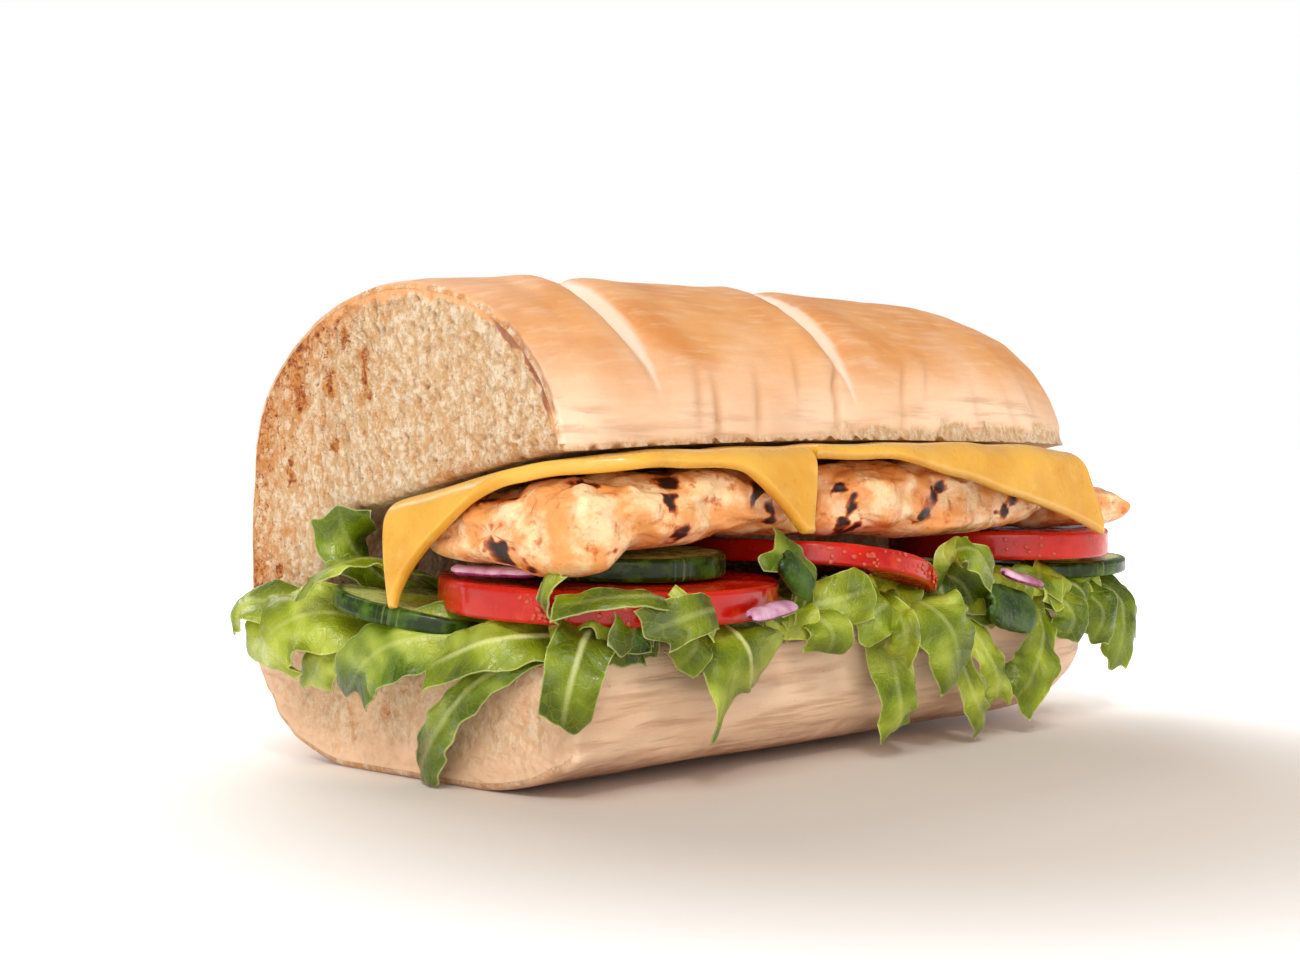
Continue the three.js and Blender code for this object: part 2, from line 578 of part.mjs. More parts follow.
const flakes = {
  onion_1: { from: [-76, -13, 32.2], to: [-73.5, -28, 32.2], width: 4, thickness: 1.2 },
  onion_2: { from: [-53, -50.6, 26], to: [-41.5, -49, 27], width: 3, thickness: 1.3 },
  onion_3: { from: [20, -45, 28.6], to: [31, -45, 26.2], width: 3, thickness: 1.3 },
};
Object.entries(flakes).forEach(([name, spec]) => addMesh(name, flake(spec), ONION, 0.35));

addMesh('pepper_1', flake({
  from: [-42, -47.2, 34], to: [-36, -47.4, 28.6], width: 4.4, thickness: 1.8, lift: [-0.2, -1, 0.2],
}), PEPPER, 0.3);
addMesh('pepper_2', flake({
  from: [15, -45, 24], to: [28, -45, 21], width: 7.5, thickness: 2, lift: [-0.2, -1, 0.3],
}), PEPPER, 0.3);

const neighbours = Object.keys(parts);
addMesh('lettuce', makeLettuce(neighbours), LETTUCE, 0.45);

// Stands the sandwich on z = 0 with the middle of its box over the origin.
const box = new THREE.Box3();
Object.values(parts).forEach((mesh) => {
  mesh.geometry.computeBoundingBox();
  box.union(mesh.geometry.boundingBox);
});
const centre = box.getCenter(new THREE.Vector3());
group.position.set(-centre.x, -centre.y, -box.min.z);

export default group;
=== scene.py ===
import bpy
import numpy as np
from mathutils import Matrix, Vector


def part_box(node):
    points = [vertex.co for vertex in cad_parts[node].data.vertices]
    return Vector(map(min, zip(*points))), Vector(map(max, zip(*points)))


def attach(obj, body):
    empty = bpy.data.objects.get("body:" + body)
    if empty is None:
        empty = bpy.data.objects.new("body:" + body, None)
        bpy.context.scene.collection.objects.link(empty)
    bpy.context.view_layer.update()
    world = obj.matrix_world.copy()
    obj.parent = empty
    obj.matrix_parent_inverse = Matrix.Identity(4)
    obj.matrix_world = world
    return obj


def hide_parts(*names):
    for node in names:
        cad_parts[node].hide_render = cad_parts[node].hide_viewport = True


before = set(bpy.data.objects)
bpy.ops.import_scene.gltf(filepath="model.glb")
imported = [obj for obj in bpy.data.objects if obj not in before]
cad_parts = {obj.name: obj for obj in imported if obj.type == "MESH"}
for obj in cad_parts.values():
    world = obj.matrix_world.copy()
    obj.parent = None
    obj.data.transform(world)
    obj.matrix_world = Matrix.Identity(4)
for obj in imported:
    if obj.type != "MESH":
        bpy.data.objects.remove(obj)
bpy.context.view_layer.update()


# Camera
# It stands low, in front of the cut end and to its left, and looks along the roll.
# All measures below are millimetres from the middle of the roll's length, and in_frame takes
# them to the frame.
LENGTH = 150.0
CUT_X = -LENGTH / 2
HEEL_X = LENGTH / 2
MIDDLE_Y = 1.0
TOP_BACK = 38.7
roll_low, roll_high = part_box("roll")
OFFSET = np.array([
    roll_low.x * 1000 - CUT_X,
    roll_high.y * 1000 - MIDDLE_Y - TOP_BACK,
    roll_low.z * 1000,
])


def in_frame(points):
    """Points in millimetres, shifted to the frame's origin and given in metres."""
    return (np.asarray(points, float) + OFFSET) / 1000


EYE = (-281.0, -245.0, 52.2)
HEADING = np.radians(46.8)
PITCH = np.radians(-1.42)
FOCAL_PIXELS = 2091
IMAGE_WIDTH = 1300
camera_data = bpy.data.cameras.new("camera")
camera_data.sensor_width = 36.0
camera_data.lens = camera_data.sensor_width * FOCAL_PIXELS / IMAGE_WIDTH
camera_data.clip_start = 0.01
camera = bpy.data.objects.new("camera", camera_data)
camera.location = in_frame(EYE)
camera.rotation_euler = (np.pi / 2 + PITCH, 0.0, -HEADING)
bpy.context.scene.collection.objects.link(camera)
bpy.context.scene.camera = camera


# Roll
# A soft white submarine roll, baked to a thin golden crust, scored across its top and sliced
# through. Its crust is one skin with a C-shaped section, round the outside and back along the
# slit, and it narrows into the round heel.
HEEL_START = 38.0
HEEL_POWER = 2.45
CROWN_Z = 76.5
CROWN_BASE_Z = 46.0
CROWN_POWERS = (2.1, 1.95)
TOP_FRONT = 37.6
BACK_BASE_Z = 40.0
BASE_FRONT = 40.0
BASE_BACK = 38.2
BASE_POWERS = (3.2, 3.3)
BULGE_Z = 18.0
FLAT_BASE = 0.5
CUT_PINCH = 0.04
SCORES = ((-43.0, 1.3), (4.0, 1.1))
SCORE_LEAN = 12.0
SCORE_BEND = 0.25
SCORE_HALF_WIDTH = 3.0
LIP_Z = 50.0
LIP_ARCH = 1.5
LIP_DROP = 12.0
FLOOR_LIP_Z = 23.3
FLOOR_Z = 20.0
FLOOR_LIP_FADE = 0.12
FLOOR_FILLET = 7.0
HINGE = 21.0
BELOW_SLIT = (19.0, 24.0)


def smooth(value, low, high):
    """0 below low, 1 above high, and an S-shaped rise between."""
    part = np.clip((value - low) / (high - low), 0, 1)
    return part * part * (3 - 2 * part)


def signed_power(value, power):
    """The value's size to a power, with its own sign."""
    return np.sign(value) * np.abs(value) ** power


def lattice(cells, seed):
    """A repeatable random value from -1 to 1 for each whole-numbered cell."""
    mixed = np.sin(cells @ np.array([127.1, 311.7, 74.7]) + seed * 53.3) * 43758.5453
    return 2 * (mixed - np.floor(mixed)) - 1


def clouds(points, size, seed, octaves=1):
    """Random values on a lattice of the given size, blended between its corners. Each further
    octave halves both the size and the height."""
    total = 0.0
    for octave in range(octaves):
        scaled = points * (2 ** octave / size)
        cell = np.floor(scaled)
        part = scaled - cell
        part = part * part * (3 - 2 * part)
        for corner in np.ndindex(2, 2, 2):
            weight = np.prod(np.where(np.array(corner) == 1, part, 1 - part), axis=-1)
            total = total + weight * lattice(cell + corner, seed + octave) / 2 ** octave
    return total


def nearest_seed(points, size, seed):
    """Distance to the nearest of the points scattered one to each cell, over the cell's size."""
    scaled = points / size
    cell = np.floor(scaled)
    nearest = np.full(points.shape[:-1], 9.0)
    for corner in np.ndindex(3, 3, 3):
        other = cell + np.array(corner) - 1
        shift = np.stack([lattice(other, seed + step) for step in (0.0, 7.7, 15.1)], -1)
        away = np.linalg.norm(other + 0.5 + 0.5 * shift - scaled, axis=-1)
        nearest = np.minimum(nearest, away)
    return nearest


def heel_scale(x):
    """Half width of the roll over its widest, falling to nothing round the heel."""
    part = np.clip((x - HEEL_START) / (HEEL_X - HEEL_START), 0, 1)
    return (1 - part ** HEEL_POWER) ** (1 / HEEL_POWER)


def along_arch(x):
    """0 at both ends of the roll and 1 at the middle, as half a sine wave."""
    return np.sin(np.pi * np.clip((x - CUT_X) / LENGTH, 0, 1))


def lip_z(x):
    return LIP_Z + LIP_ARCH * along_arch(x)


def front_lip_y(x):
    return MIDDLE_Y - heel_scale(x) * (TOP_FRONT - 0.3)


def hinge_wall_y(x):
    return MIDDLE_Y + heel_scale(x) * (TOP_BACK - HINGE) * (1 - smooth(x, HEEL_START - 3, HEEL_X - 5))


def roof_at(x, depth):
    """Height of the slit's roof, falling from the lip to the hinge."""
    return lip_z(x) - LIP_DROP * np.maximum(depth, 0) ** 1.35


def floor_at(depth):
    """Height of the slit's floor: down from the lip, flat, and up a fillet at the hinge."""
    deep = np.maximum(depth, 0)
    lip = (FLOOR_LIP_Z - FLOOR_Z) * np.exp(-deep / FLOOR_LIP_FADE)
    return FLOOR_Z + lip + FLOOR_FILLET * deep ** 6


def below_slit(z):
    """1 on the lower half of the roll and 0 from the slit's floor up."""
    return smooth(-z, -BELOW_SLIT[1], -BELOW_SLIT[0])


def roof_z(x, y):
    return roof_at(x, (y - front_lip_y(x)) / (hinge_wall_y(x) - front_lip_y(x)))


def floor_z(x, y):
    return floor_at((y - front_lip_y(x)) / (hinge_wall_y(x) - front_lip_y(x)))


def outside_curve(x, steps):
    """The crust's outline at each x, as y and z: a crown of superellipses from the front lip over
    the top, a base of superellipses under it, and a quarter ellipse in to the floor's lip."""
    plan = heel_scale(x)
    pinch = 1 - CUT_PINCH * np.exp(-(x - CUT_X) / 5)
    rise = (CROWN_Z - CROWN_BASE_Z) * pinch
    start = np.arcsin(((LIP_Z - CROWN_BASE_Z) / rise) ** (CROWN_POWERS[0] / 2))
    angle = start + (np.pi - start) * np.linspace(0, 1, steps)
    ahead = np.cos(angle) > 0
    power = 2 / np.where(ahead, *CROWN_POWERS)
    y = MIDDLE_Y - plan * pinch * np.where(ahead, TOP_FRONT, TOP_BACK) * signed_power(np.cos(angle), power)
    score = sum(depth * np.exp(-1.5 * ((x - at) / SCORE_HALF_WIDTH) ** 2) for at, depth in SCORES)
    groove = score * smooth(np.sin(angle), 0.35, 0.8) * smooth(np.cos(angle), -0.5, 0)
    full = CROWN_BASE_Z + rise * np.abs(np.sin(angle)) ** power - groove
    raised = lip_z(x) + (full - LIP_Z) * plan ** 0.8
    crown = np.stack([y, np.where(full < LIP_Z, full + lip_z(x) - LIP_Z, raised)], -1)

    angle = np.pi * np.linspace(0, 1, steps)
    back = np.cos(angle) > 0
    power = 2 / np.where(back, BASE_POWERS[1], BASE_POWERS[0])
    reach = np.where(back, BASE_BACK, BASE_FRONT)
    y = MIDDLE_Y + plan ** 0.8 * reach * signed_power(np.cos(angle), power)
    level = np.where(back, BACK_BASE_Z, BULGE_Z)
    full = np.maximum(0, level - (level + FLAT_BASE) * np.abs(np.sin(angle)) ** power)
    shrink = np.where(full < FLOOR_LIP_Z, plan ** 0.7, 1)
    base = np.stack([y, FLOOR_LIP_Z - (FLOOR_LIP_Z - full) * shrink], -1)
    turn = np.linspace(0, np.pi / 2, 24)[1:]
    inward = front_lip_y(x) - base[:, -1:, 0]
    upward = FLOOR_LIP_Z - base[:, -1:, 1]
    lip = base[:, -1:] + np.stack([inward * (1 - np.cos(turn)), upward * np.sin(turn)], -1)
    return np.concatenate([crown, base, lip], axis=1)


def slit_curve(x, steps):
    """The slit's outline at each x, as y and z: in along the floor, up the hinge, out along the
    roof."""
    depth = np.linspace(0, 1, steps)
    lip = front_lip_y(x)
    y = lip + (hinge_wall_y(x) - lip) * depth
    floor = np.stack([y, floor_at(depth) + 0 * y], -1)
    roof = np.stack([y, roof_at(x, depth)], -1)[:, ::-1]
    return np.concatenate([floor, roof], axis=1)


def lean(x, y, z):
    """x moved towards the cut on the crown's front, as the scores lean, which soon levels out."""
    front = np.clip((MIDDLE_Y - y) / TOP_FRONT, 0, 1)
    along = smooth(x, CUT_X, -50) * (1 - smooth(x, 20, 62)) * smooth(z, LIP_Z - 6, LIP_Z + 6)
    return x - SCORE_LEAN * (1 - np.exp(-front / SCORE_BEND)) * along


def even_steps(curves, count):
    """Each curve given again with count points, evenly spaced along it."""
    made = np.empty((len(curves), count, 2))
    for row, curve in enumerate(curves):
        run = np.concatenate([[0], np.cumsum(np.linalg.norm(np.diff(curve, axis=0), axis=1))])
        at = np.linspace(0, run[-1], count)
        made[row, :, 0] = np.interp(at, run, curve[:, 0])
        made[row, :, 1] = np.interp(at, run, curve[:, 1])
    return made


def grid_faces(index, closed=False):
    """Quads between the rows of an index grid, and back to its first column if closed."""
    after = np.roll(index, -1, axis=1)
    width = index.shape[1] if closed else index.shape[1] - 1
    corners = [index[:-1], index[1:], after[1:], after[:-1]]
    return np.stack([corner[:, :width] for corner in corners], -1).reshape(-1, 4)


def ring_shell(rings):
    """A closed skin through a stack of closed rings, with a fan round the middle of each end."""
    count, around = rings.shape[:2]
    index = np.arange(count * around).reshape(count, around)
    faces = grid_faces(index, closed=True).tolist()
    points = rings.reshape(-1, 3)
    middles = np.stack([rings[0].mean(0), rings[-1].mean(0)])
    for ring, centre in ((index[0][::-1], len(points)), (index[-1], len(points) + 1)):
        faces += np.stack([np.roll(ring, -1), ring, np.full(around, centre)], -1).tolist()
    return np.concatenate([points, middles]), faces


def forked_shell(rings):
    """A closed skin through a stack of C-shaped rings, each OUTER_COUNT points round the outside
    and then SLIT_COUNT back along the slit. Each end is a strip from the outside to the slit."""
    count, around = rings.shape[:2]
    index = np.arange(count * around).reshape(count, around)
    faces = grid_faces(index, closed=True).tolist()
    partner = around - 1 - np.round(np.linspace(0, SLIT_COUNT - 1, OUTER_COUNT)).astype(int)
    for ring, step in ((index[0], 1), (index[-1], -1)):
        for k in range(OUTER_COUNT - 1):
            corners = [k, k + 1, partner[k + 1], partner[k]]
            if partner[k] == partner[k + 1]:
                corners.pop()
            faces.append([int(ring[corner]) for corner in corners[::step]])
    return rings.reshape(-1, 3), faces


def normals_of(grid, closed=False):
    """Unit normals of a grid of points, from its steps along and across. A closed grid goes on
    from its last column to its first."""
    along = np.gradient(grid, axis=0)
    across = np.roll(grid, -1, 1) - np.roll(grid, 1, 1) if closed else np.gradient(grid, axis=1)
    normal = np.cross(along, across)
    return normal / (np.linalg.norm(normal, axis=-1, keepdims=True) + 1e-12)


def sheet_shell(middle, half):
    """A closed thin sheet round a grid of middle points, half its thickness to either side, with
    a rim round its edge."""
    normal = normals_of(middle)
    count = middle.shape[0] * middle.shape[1]
    index = np.arange(count).reshape(middle.shape[:2])
    step = normal * half[..., None]
    points = np.concatenate([(middle + step).reshape(-1, 3), (middle - step).reshape(-1, 3)])
    top = grid_faces(index)
    edge = np.concatenate([index[:, 0], index[-1, 1:], index[-2::-1, -1], index[0, -2:0:-1]])
    after = np.roll(edge, -1)
    rim = np.stack([after, edge, edge + count, after + count], -1)
    return points, np.concatenate([top, top[:, ::-1] + count, rim]).tolist()


def facing_out(points, faces):
    """The faces, all turned over if the volume that they close comes out negative."""
    halves = [[face[0], face[2], face[3]] for face in faces if len(face) == 4]
    corners = np.array([face[:3] for face in faces] + halves)
    a, b, c = np.moveaxis(points[corners] - points.mean(0), 1, 0)
    volume = (a * np.cross(b, c)).sum()
    return faces if volume > 0 else [face[::-1] for face in faces]


def make_piece(name, bodies, material, nodes, values=None, sharp=50):
    """Joins closed bodies, given as points and faces, into one object in the frame. values holds
    a number for each point under each name."""
    points, faces, start = [], [], 0
    for body_points, body_faces in bodies:
        turned = facing_out(body_points, body_faces)
        faces += [[corner + start for corner in face] for face in turned]
        points.append(body_points)
        start += len(body_points)
    mesh = bpy.data.meshes.new(name)
    mesh.from_pydata(in_frame(np.concatenate(points)).tolist(), [], faces)
    for key, numbers in (values or {}).items():
        layer = mesh.attributes.new(key, "FLOAT", "POINT")
        layer.data.foreach_set("value", np.asarray(numbers, np.float32))
    mesh.polygons.foreach_set("use_smooth", np.ones(len(mesh.polygons), bool))
    mesh.set_sharp_from_angle(angle=np.radians(sharp))
    mesh.materials.append(material)
    mesh.update()
    piece = bpy.data.objects.new(name, mesh)
    bpy.context.scene.collection.objects.link(piece)
    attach(piece, "root")
    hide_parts(*nodes)
    return piece


def colour(red, green, blue):
    """A colour as it looks on a screen, from 0 to 255, made linear."""
    part = np.array([red, green, blue]) / 255
    linear = np.where(part <= 0.04045, part / 12.92, ((part + 0.055) / 1.055) ** 2.4)
    return (*linear.tolist(), 1.0)


COAT_ROUGHNESS = 0.12


class Finish:
    """A material with one Principled shader, and short ways to add nodes to it."""

    def __init__(self, name, roughness, subsurface=0.0, depth=0.002, tint=(1.0, 0.5, 0.3), coat=0.0,
                 specular=0.5):
        self.material = bpy.data.materials.new(name)
        self.material.use_nodes = True
        self.tree = self.material.node_tree
        self.shader = self.tree.nodes["Principled BSDF"]
        self.shader.inputs["Roughness"].default_value = roughness
        self.shader.inputs["Subsurface Weight"].default_value = subsurface
        self.shader.inputs["Subsurface Scale"].default_value = depth
        self.shader.inputs["Subsurface Radius"].default_value = tint
        self.shader.inputs["Coat Weight"].default_value = coat
        self.shader.inputs["Coat Roughness"].default_value = COAT_ROUGHNESS
        self.shader.inputs["Specular IOR Level"].default_value = specular
        self.object = self.add("TexCoord").outputs["Object"]

    def feed(self, socket, value):
        """Links a node's output to a socket, or sets the socket's own value."""
        if isinstance(value, bpy.types.NodeSocket):
            self.tree.links.new(value, socket)
        else:
            socket.default_value = value

    def add(self, kind, inputs=None, **settings):
        made = self.tree.nodes.new("ShaderNode" + kind)
        for key, value in settings.items():
            setattr(made, key, value)
        for key, value in (inputs or {}).items():
            self.feed(made.inputs[key], value)
        return made

    def value(self, name):
        return self.add("Attribute", attribute_name=name).outputs["Fac"]

    def stretched(self, x=1.0, y=1.0, z=1.0):
        """Object coordinates, with the pattern drawn out where a factor is under 1."""
        return self.add("Mapping", {"Vector": self.object, "Scale": (x, y, z)}).outputs["Vector"]

    def noise(self, size, detail=3.0, rough=0.55, vector=None):
        """Cloudy noise with features of about size millimetres, from 0 to 1."""
        inputs = {"Vector": vector or self.object, "Scale": 1000 / size}
        inputs.update({"Detail": detail, "Roughness": rough})
        return self.add("TexNoise", inputs).outputs["Fac"]

    def cells(self, size):
        """Distance to the middles of cells of about size millimetres."""
        inputs = {"Vector": self.object, "Scale": 1000 / size}
        return self.add("TexVoronoi", inputs).outputs["Distance"]

    def ramp(self, value, low, high, start=0.0, end=1.0):
        """The value taken from low..high to start..end, clamped and eased."""
        inputs = {"Value": value, "From Min": low, "From Max": high, "To Min": start, "To Max": end}
        return self.add("MapRange", inputs, interpolation_type="SMOOTHSTEP").outputs["Result"]

    def math(self, operation, first, second=0.0):
        return self.add("Math", {0: first, 1: second}, operation=operation).outputs[0]

    def mix(self, factor, first, second):
        """The first colour at factor 0, the second at factor 1."""
        made = self.add("Mix", {0: factor, 6: first, 7: second}, data_type="RGBA")
        return made.outputs[2]

    def over(self, base, second, value, low, high, start=0.0, end=1.0):
        """The base with a second colour over it, as much as ramp makes of the value."""
        return self.mix(self.ramp(value, low, high, start, end), base, second)

    def bump(self, height, distance, strength=1.0):
        """Relief of about distance millimetres."""
        inputs = {"Height": height, "Distance": distance / 1000, "Strength": strength}
        return self.add("Bump", inputs).outputs["Normal"]

    def finish(self, base, roughness=None, normal=None):
        for key, value in (("Base Color", base), ("Roughness", roughness), ("Normal", normal)):
            if value is not None:
                self.tree.links.new(value, self.shader.inputs[key])
        return self.material


CRUST_GOLD = colour(228, 160, 92)
CRUST_TOASTED = colour(214, 136, 66)
CRUST_PALE = colour(240, 206, 172)
CRUST_STRIPE = colour(244, 216, 192)
CRUST_LOWER = colour(250, 212, 178)
# Painted shade for the folds of the lower crust
CRUST_FOLD_SHADE = colour(184, 130, 90)
# Painted shade for the creases in the crown
CRUST_CREASE_SHADE = colour(190, 128, 76)
CRUST_BROWN = colour(138, 62, 20)
# Crumb colours: the tuft highlight and the hollow shade are painted light and shade
CRUMB_TUFT_HIGHLIGHT = colour(244, 222, 190)
CRUMB_CREAM = colour(220, 176, 126)
CRUMB_HOLLOW_SHADE = colour(190, 130, 74)
CRUMB_GOLD = colour(206, 130, 52)
CRUMB_TOAST = colour(170, 84, 28)
CRUMB_BROWN = colour(96, 34, 10)


def bread_finish():
    """Crust where the crust value is 1 and crumb where it is 0. Crust runs from pale to gold with
    the bake value, with fine lines along the roll, and painted shade darkens its folds and
    creases. Crumb is fluffy, with upright fibres: painted highlight makes its raised tufts near
    white over cream, and painted shade turns the gaps between them and the pores tan. It has
    golden clouds and small dark specks, the more so where the toast value is high."""
    bread = Finish("bread", 0.62, subsurface=0.1, depth=0.002)
    crust, bake, toast = bread.value("crust"), bread.value("bake"), bread.value("toast")
    broad = bread.noise(15, 4.0)
    line = bread.noise(1.6, 4.0, 0.6, bread.stretched(0.16, 1.0, 1.0))
    gold = bread.over(CRUST_GOLD, CRUST_TOASTED, broad, 0.32, 0.7)
    skin = bread.over(CRUST_LOWER, CRUST_PALE, broad, 0.35, 0.7)
    skin = bread.mix(bake, skin, gold)
    # Painted shade: the lower crust darkens in its fold valleys, where the bump below also sinks it
    fold = bread.noise(1.8, 3.0, 0.5, bread.stretched(0.1, 0.5, 1.0))
    creased = bread.math("MULTIPLY", bread.ramp(fold, 0.55, 0.3), bread.ramp(bake, 0.1, 0.4, 0.5, 0.0))
    skin = bread.mix(creased, skin, CRUST_FOLD_SHADE)
    lines = bread.math("MULTIPLY", bread.ramp(line, 0.5, 0.72), bread.ramp(bake, 0.2, 1.0, 0.08, 0.34))
    skin = bread.mix(lines, skin, CRUST_TOASTED)
    skin = bread.over(skin, CRUST_PALE, line, 0.3, 0.5, 0.3, 0.0)
    skin = bread.over(skin, CRUST_TOASTED, bread.noise(1.0, 3.0, 0.7), 0.66, 0.74, 0.0, 0.5)
    skin = bread.mix(bread.value("stripe"), skin, CRUST_STRIPE)
    # Painted shade in the crown's creases
    skin = bread.mix(bread.value("crease"), skin, CRUST_CREASE_SHADE)
    skin = bread.mix(bread.value("brown"), skin, CRUST_BROWN)

    fibre = bread.noise(1.3, 6.0, 0.78, bread.stretched(1.0, 1.0, 0.7))
    fluff = bread.noise(0.9, 4.0, 0.75)
    # Painted highlight and shade: near white on the raised tufts, cream where the fibres sink, tan in the
    # gaps and the pores
    cream = bread.over(CRUMB_TUFT_HIGHLIGHT, CRUMB_CREAM, fibre, 0.4, 0.58)
    cream = bread.over(cream, CRUMB_HOLLOW_SHADE, fluff, 0.52, 0.7, 0.0, 0.7)
    cream = bread.mix(bread.math("MULTIPLY", bread.value("pore"), 0.6), cream, CRUMB_HOLLOW_SHADE)
    cloud = bread.math("ADD", bread.noise(2.6, 6.0, 0.78), bread.math("MULTIPLY", toast, 0.3))
    cream = bread.over(cream, CRUMB_GOLD, cloud, 0.54, 0.8, 0.0, 0.9)
    speck = bread.math("ADD", bread.noise(1.1, 4.0, 0.8), bread.math("MULTIPLY", toast, 0.24))
    cream = bread.over(cream, CRUMB_TOAST, speck, 0.68, 0.76, 0.0, 0.9)
    cream = bread.over(cream, CRUMB_BROWN, speck, 0.78, 0.86, 0.0, 0.95)
    base = bread.mix(crust, cream, skin)
    crumb_height = bread.math("ADD", fibre, bread.math("MULTIPLY", fluff, 0.8))
    crumb_bump = bread.bump(bread.math("SUBTRACT", 0.0, crumb_height), 0.9, 0.8)
    fold = bread.math("MULTIPLY", creased, -3.0)
    grain = bread.math("ADD", line, bread.math("MULTIPLY", fluff, 0.35))
    skin_bump = bread.bump(bread.math("ADD", grain, fold), 0.26, 0.6)
    normal = bread.add("Mix", {0: crust}, data_type="VECTOR")
    bread.tree.links.new(crumb_bump, normal.inputs[4])
    bread.tree.links.new(skin_bump, normal.inputs[5])
    rough = bread.ramp(crust, 0.0, 1.0, 0.9, 0.5)
    return bread.finish(base, rough, normal.outputs[1])


bread_material = bread_finish()
# Creases in the crown's front, sunk into the crust and darkened with painted shade: x and z of the middle,
# slope, half length and depth
CREASES = (
    (-46.0, 58.0, -0.35, 4.5, 0.45), (-42.6, 55.5, -0.25, 5.0, 0.7), (-32.2, 57.0, -0.4, 4.5, 0.55),
    (-20.0, 61.8, -0.5, 3.6, 0.45), (-12.8, 57.0, -0.35, 3.6, 0.6), (-10.2, 62.0, -1.0, 2.4, 0.75),
    (8.0, 61.5, -0.9, 3.0, 0.5), (16.0, 62.6, -0.9, 3.0, 0.35), (4.0, 54.5, -0.5, 4.0, 0.35),
    (27.0, 57.0, -0.3, 5.0, 0.3), (38.0, 57.0, 0.0, 5.0, 0.3), (46.0, 58.0, 0.0, 5.0, 0.35),
)
CREASE_HALF_WIDTH = 0.9
STRIPE_WIDTH = 4.2
CUT_ROUND = 1.1


def crease_value(points):
    """0 to about 0.7 in the creases, each a leaning ellipse on the front of the crown."""
    x, y, z = np.moveaxis(points, -1, 0)
    total = 0.0
    for at, height, slope, half_length, depth in CREASES:
        aside = (x - at - slope * (height - z)) / CREASE_HALF_WIDTH
        total = total + depth * np.exp(-aside ** 2 - ((z - height) / half_length) ** 2)
    return total * smooth(-y, 10, 24) * smooth(z, LIP_Z - 3, LIP_Z)


def stripe_value(station, points):
    """1 on the pale stripe beside each score, which narrows from the top to the slit. station is
    x before the crown's lean."""
    _, y, z = np.moveaxis(points, -1, 0)
    wide = STRIPE_WIDTH * smooth(z, 50, 76) * smooth(-y, -5, 6)
    total = 0.0
    for at, _ in SCORES:
        aside = station - at
        total = total + smooth(aside, -0.2, 0.2) * smooth(wide - aside, 0, 1.2) * smooth(wide, 0.3, 1.2)
    return np.clip(total, 0, 1)


def score_relief(station, points):
    """A step at each score: the crust on its near side swells over it, and on the far side the
    stripe climbs slowly back."""
    _, y, z = np.moveaxis(points, -1, 0)
    reach = smooth(z, 54, 72) * smooth(-y, -8, 4)
    total = 0.0
    for at, depth in SCORES:
        aside = station - at
        dip = np.where(aside < 0, np.exp(-(aside / 1.1) ** 2), np.exp(-(aside / 3.4) ** 2))
        swell = np.exp(-((aside + 6.0) / 4.5) ** 2) + 0.6 * np.exp(-((aside - 9.0) / 5.0) ** 2)
        total = total + depth * reach * (0.42 * swell - 0.9 * dip)
    return total


def torn_lip(points):
    """1 where the crown's lip is torn to open crumb, along the front from the middle of the roll
    to the heel."""
    x, y, z = np.moveaxis(points, -1, 0)
    height = lip_z(x) + 2.6 + 1.6 * clouds(points, 3.2, 83, 2)
    return smooth(height - z, -0.4, 0.8) * smooth(x, -22, -4) * smooth(z, 44, 47) * smooth(-y, 0, 8)


def crust_relief(station, points):
    """How far the crust stands out, in millimetres: broad lumps, thin lines along the crown,
    creases, scores, a torn lip, and long soft folds on the lower half."""
    x, y, z = np.moveaxis(points, -1, 0)
    relief = 0.4 * clouds(points, 22, 3, 2) + 0.1 * clouds(points, 5, 9, 2)
    lines = clouds(points * [0.1, 1, 1], 2.4, 5, 2) * smooth(z, 52, 66)
    lower = below_slit(z) * smooth(z, 1, 7)
    drawn = points.copy()
    drawn[..., 2] += 0.1 * x + 3.0 * clouds(points, 30, 19)
    folds = 1 - 2 * np.abs(clouds(drawn * [0.1, 0.6, 1], 6.0, 17, 2))
    drawn[..., 2] -= 0.3 * x
    short_folds = np.exp(-(x - CUT_X) / 12) * clouds(drawn * [0.25, 0.6, 1], 3.4, 29, 2)
    relief = relief + 0.09 * lines + lower * (0.7 * folds + 1.3 * short_folds)
    relief = relief - crease_value(points) + score_relief(station, points)
    relief = relief - 0.6 * torn_lip(points) * (0.5 + 0.5 * clouds(points, 2.2, 85, 2))
    return relief * smooth(z, 0, 2.5)


OUTER_COUNT = 320
SLIT_COUNT = 90
STRAIGHT_RINGS = 150
HEEL_RINGS = 55
HEEL_TURN = np.radians(88.5)
ROUND_RINGS = 6
CURVE_STEPS = 400
POINT_STEP = 0.75
CRUST_EDGE = 1.4
LARGE_PORE = 2.6
SMALL_PORE = 1.5
PORE_DEPTH = 0.8
# A ring and a point of it that lie high on the crown, where outwards is away from the middle
CROWN_RING = 40
CROWN_POINT = 60


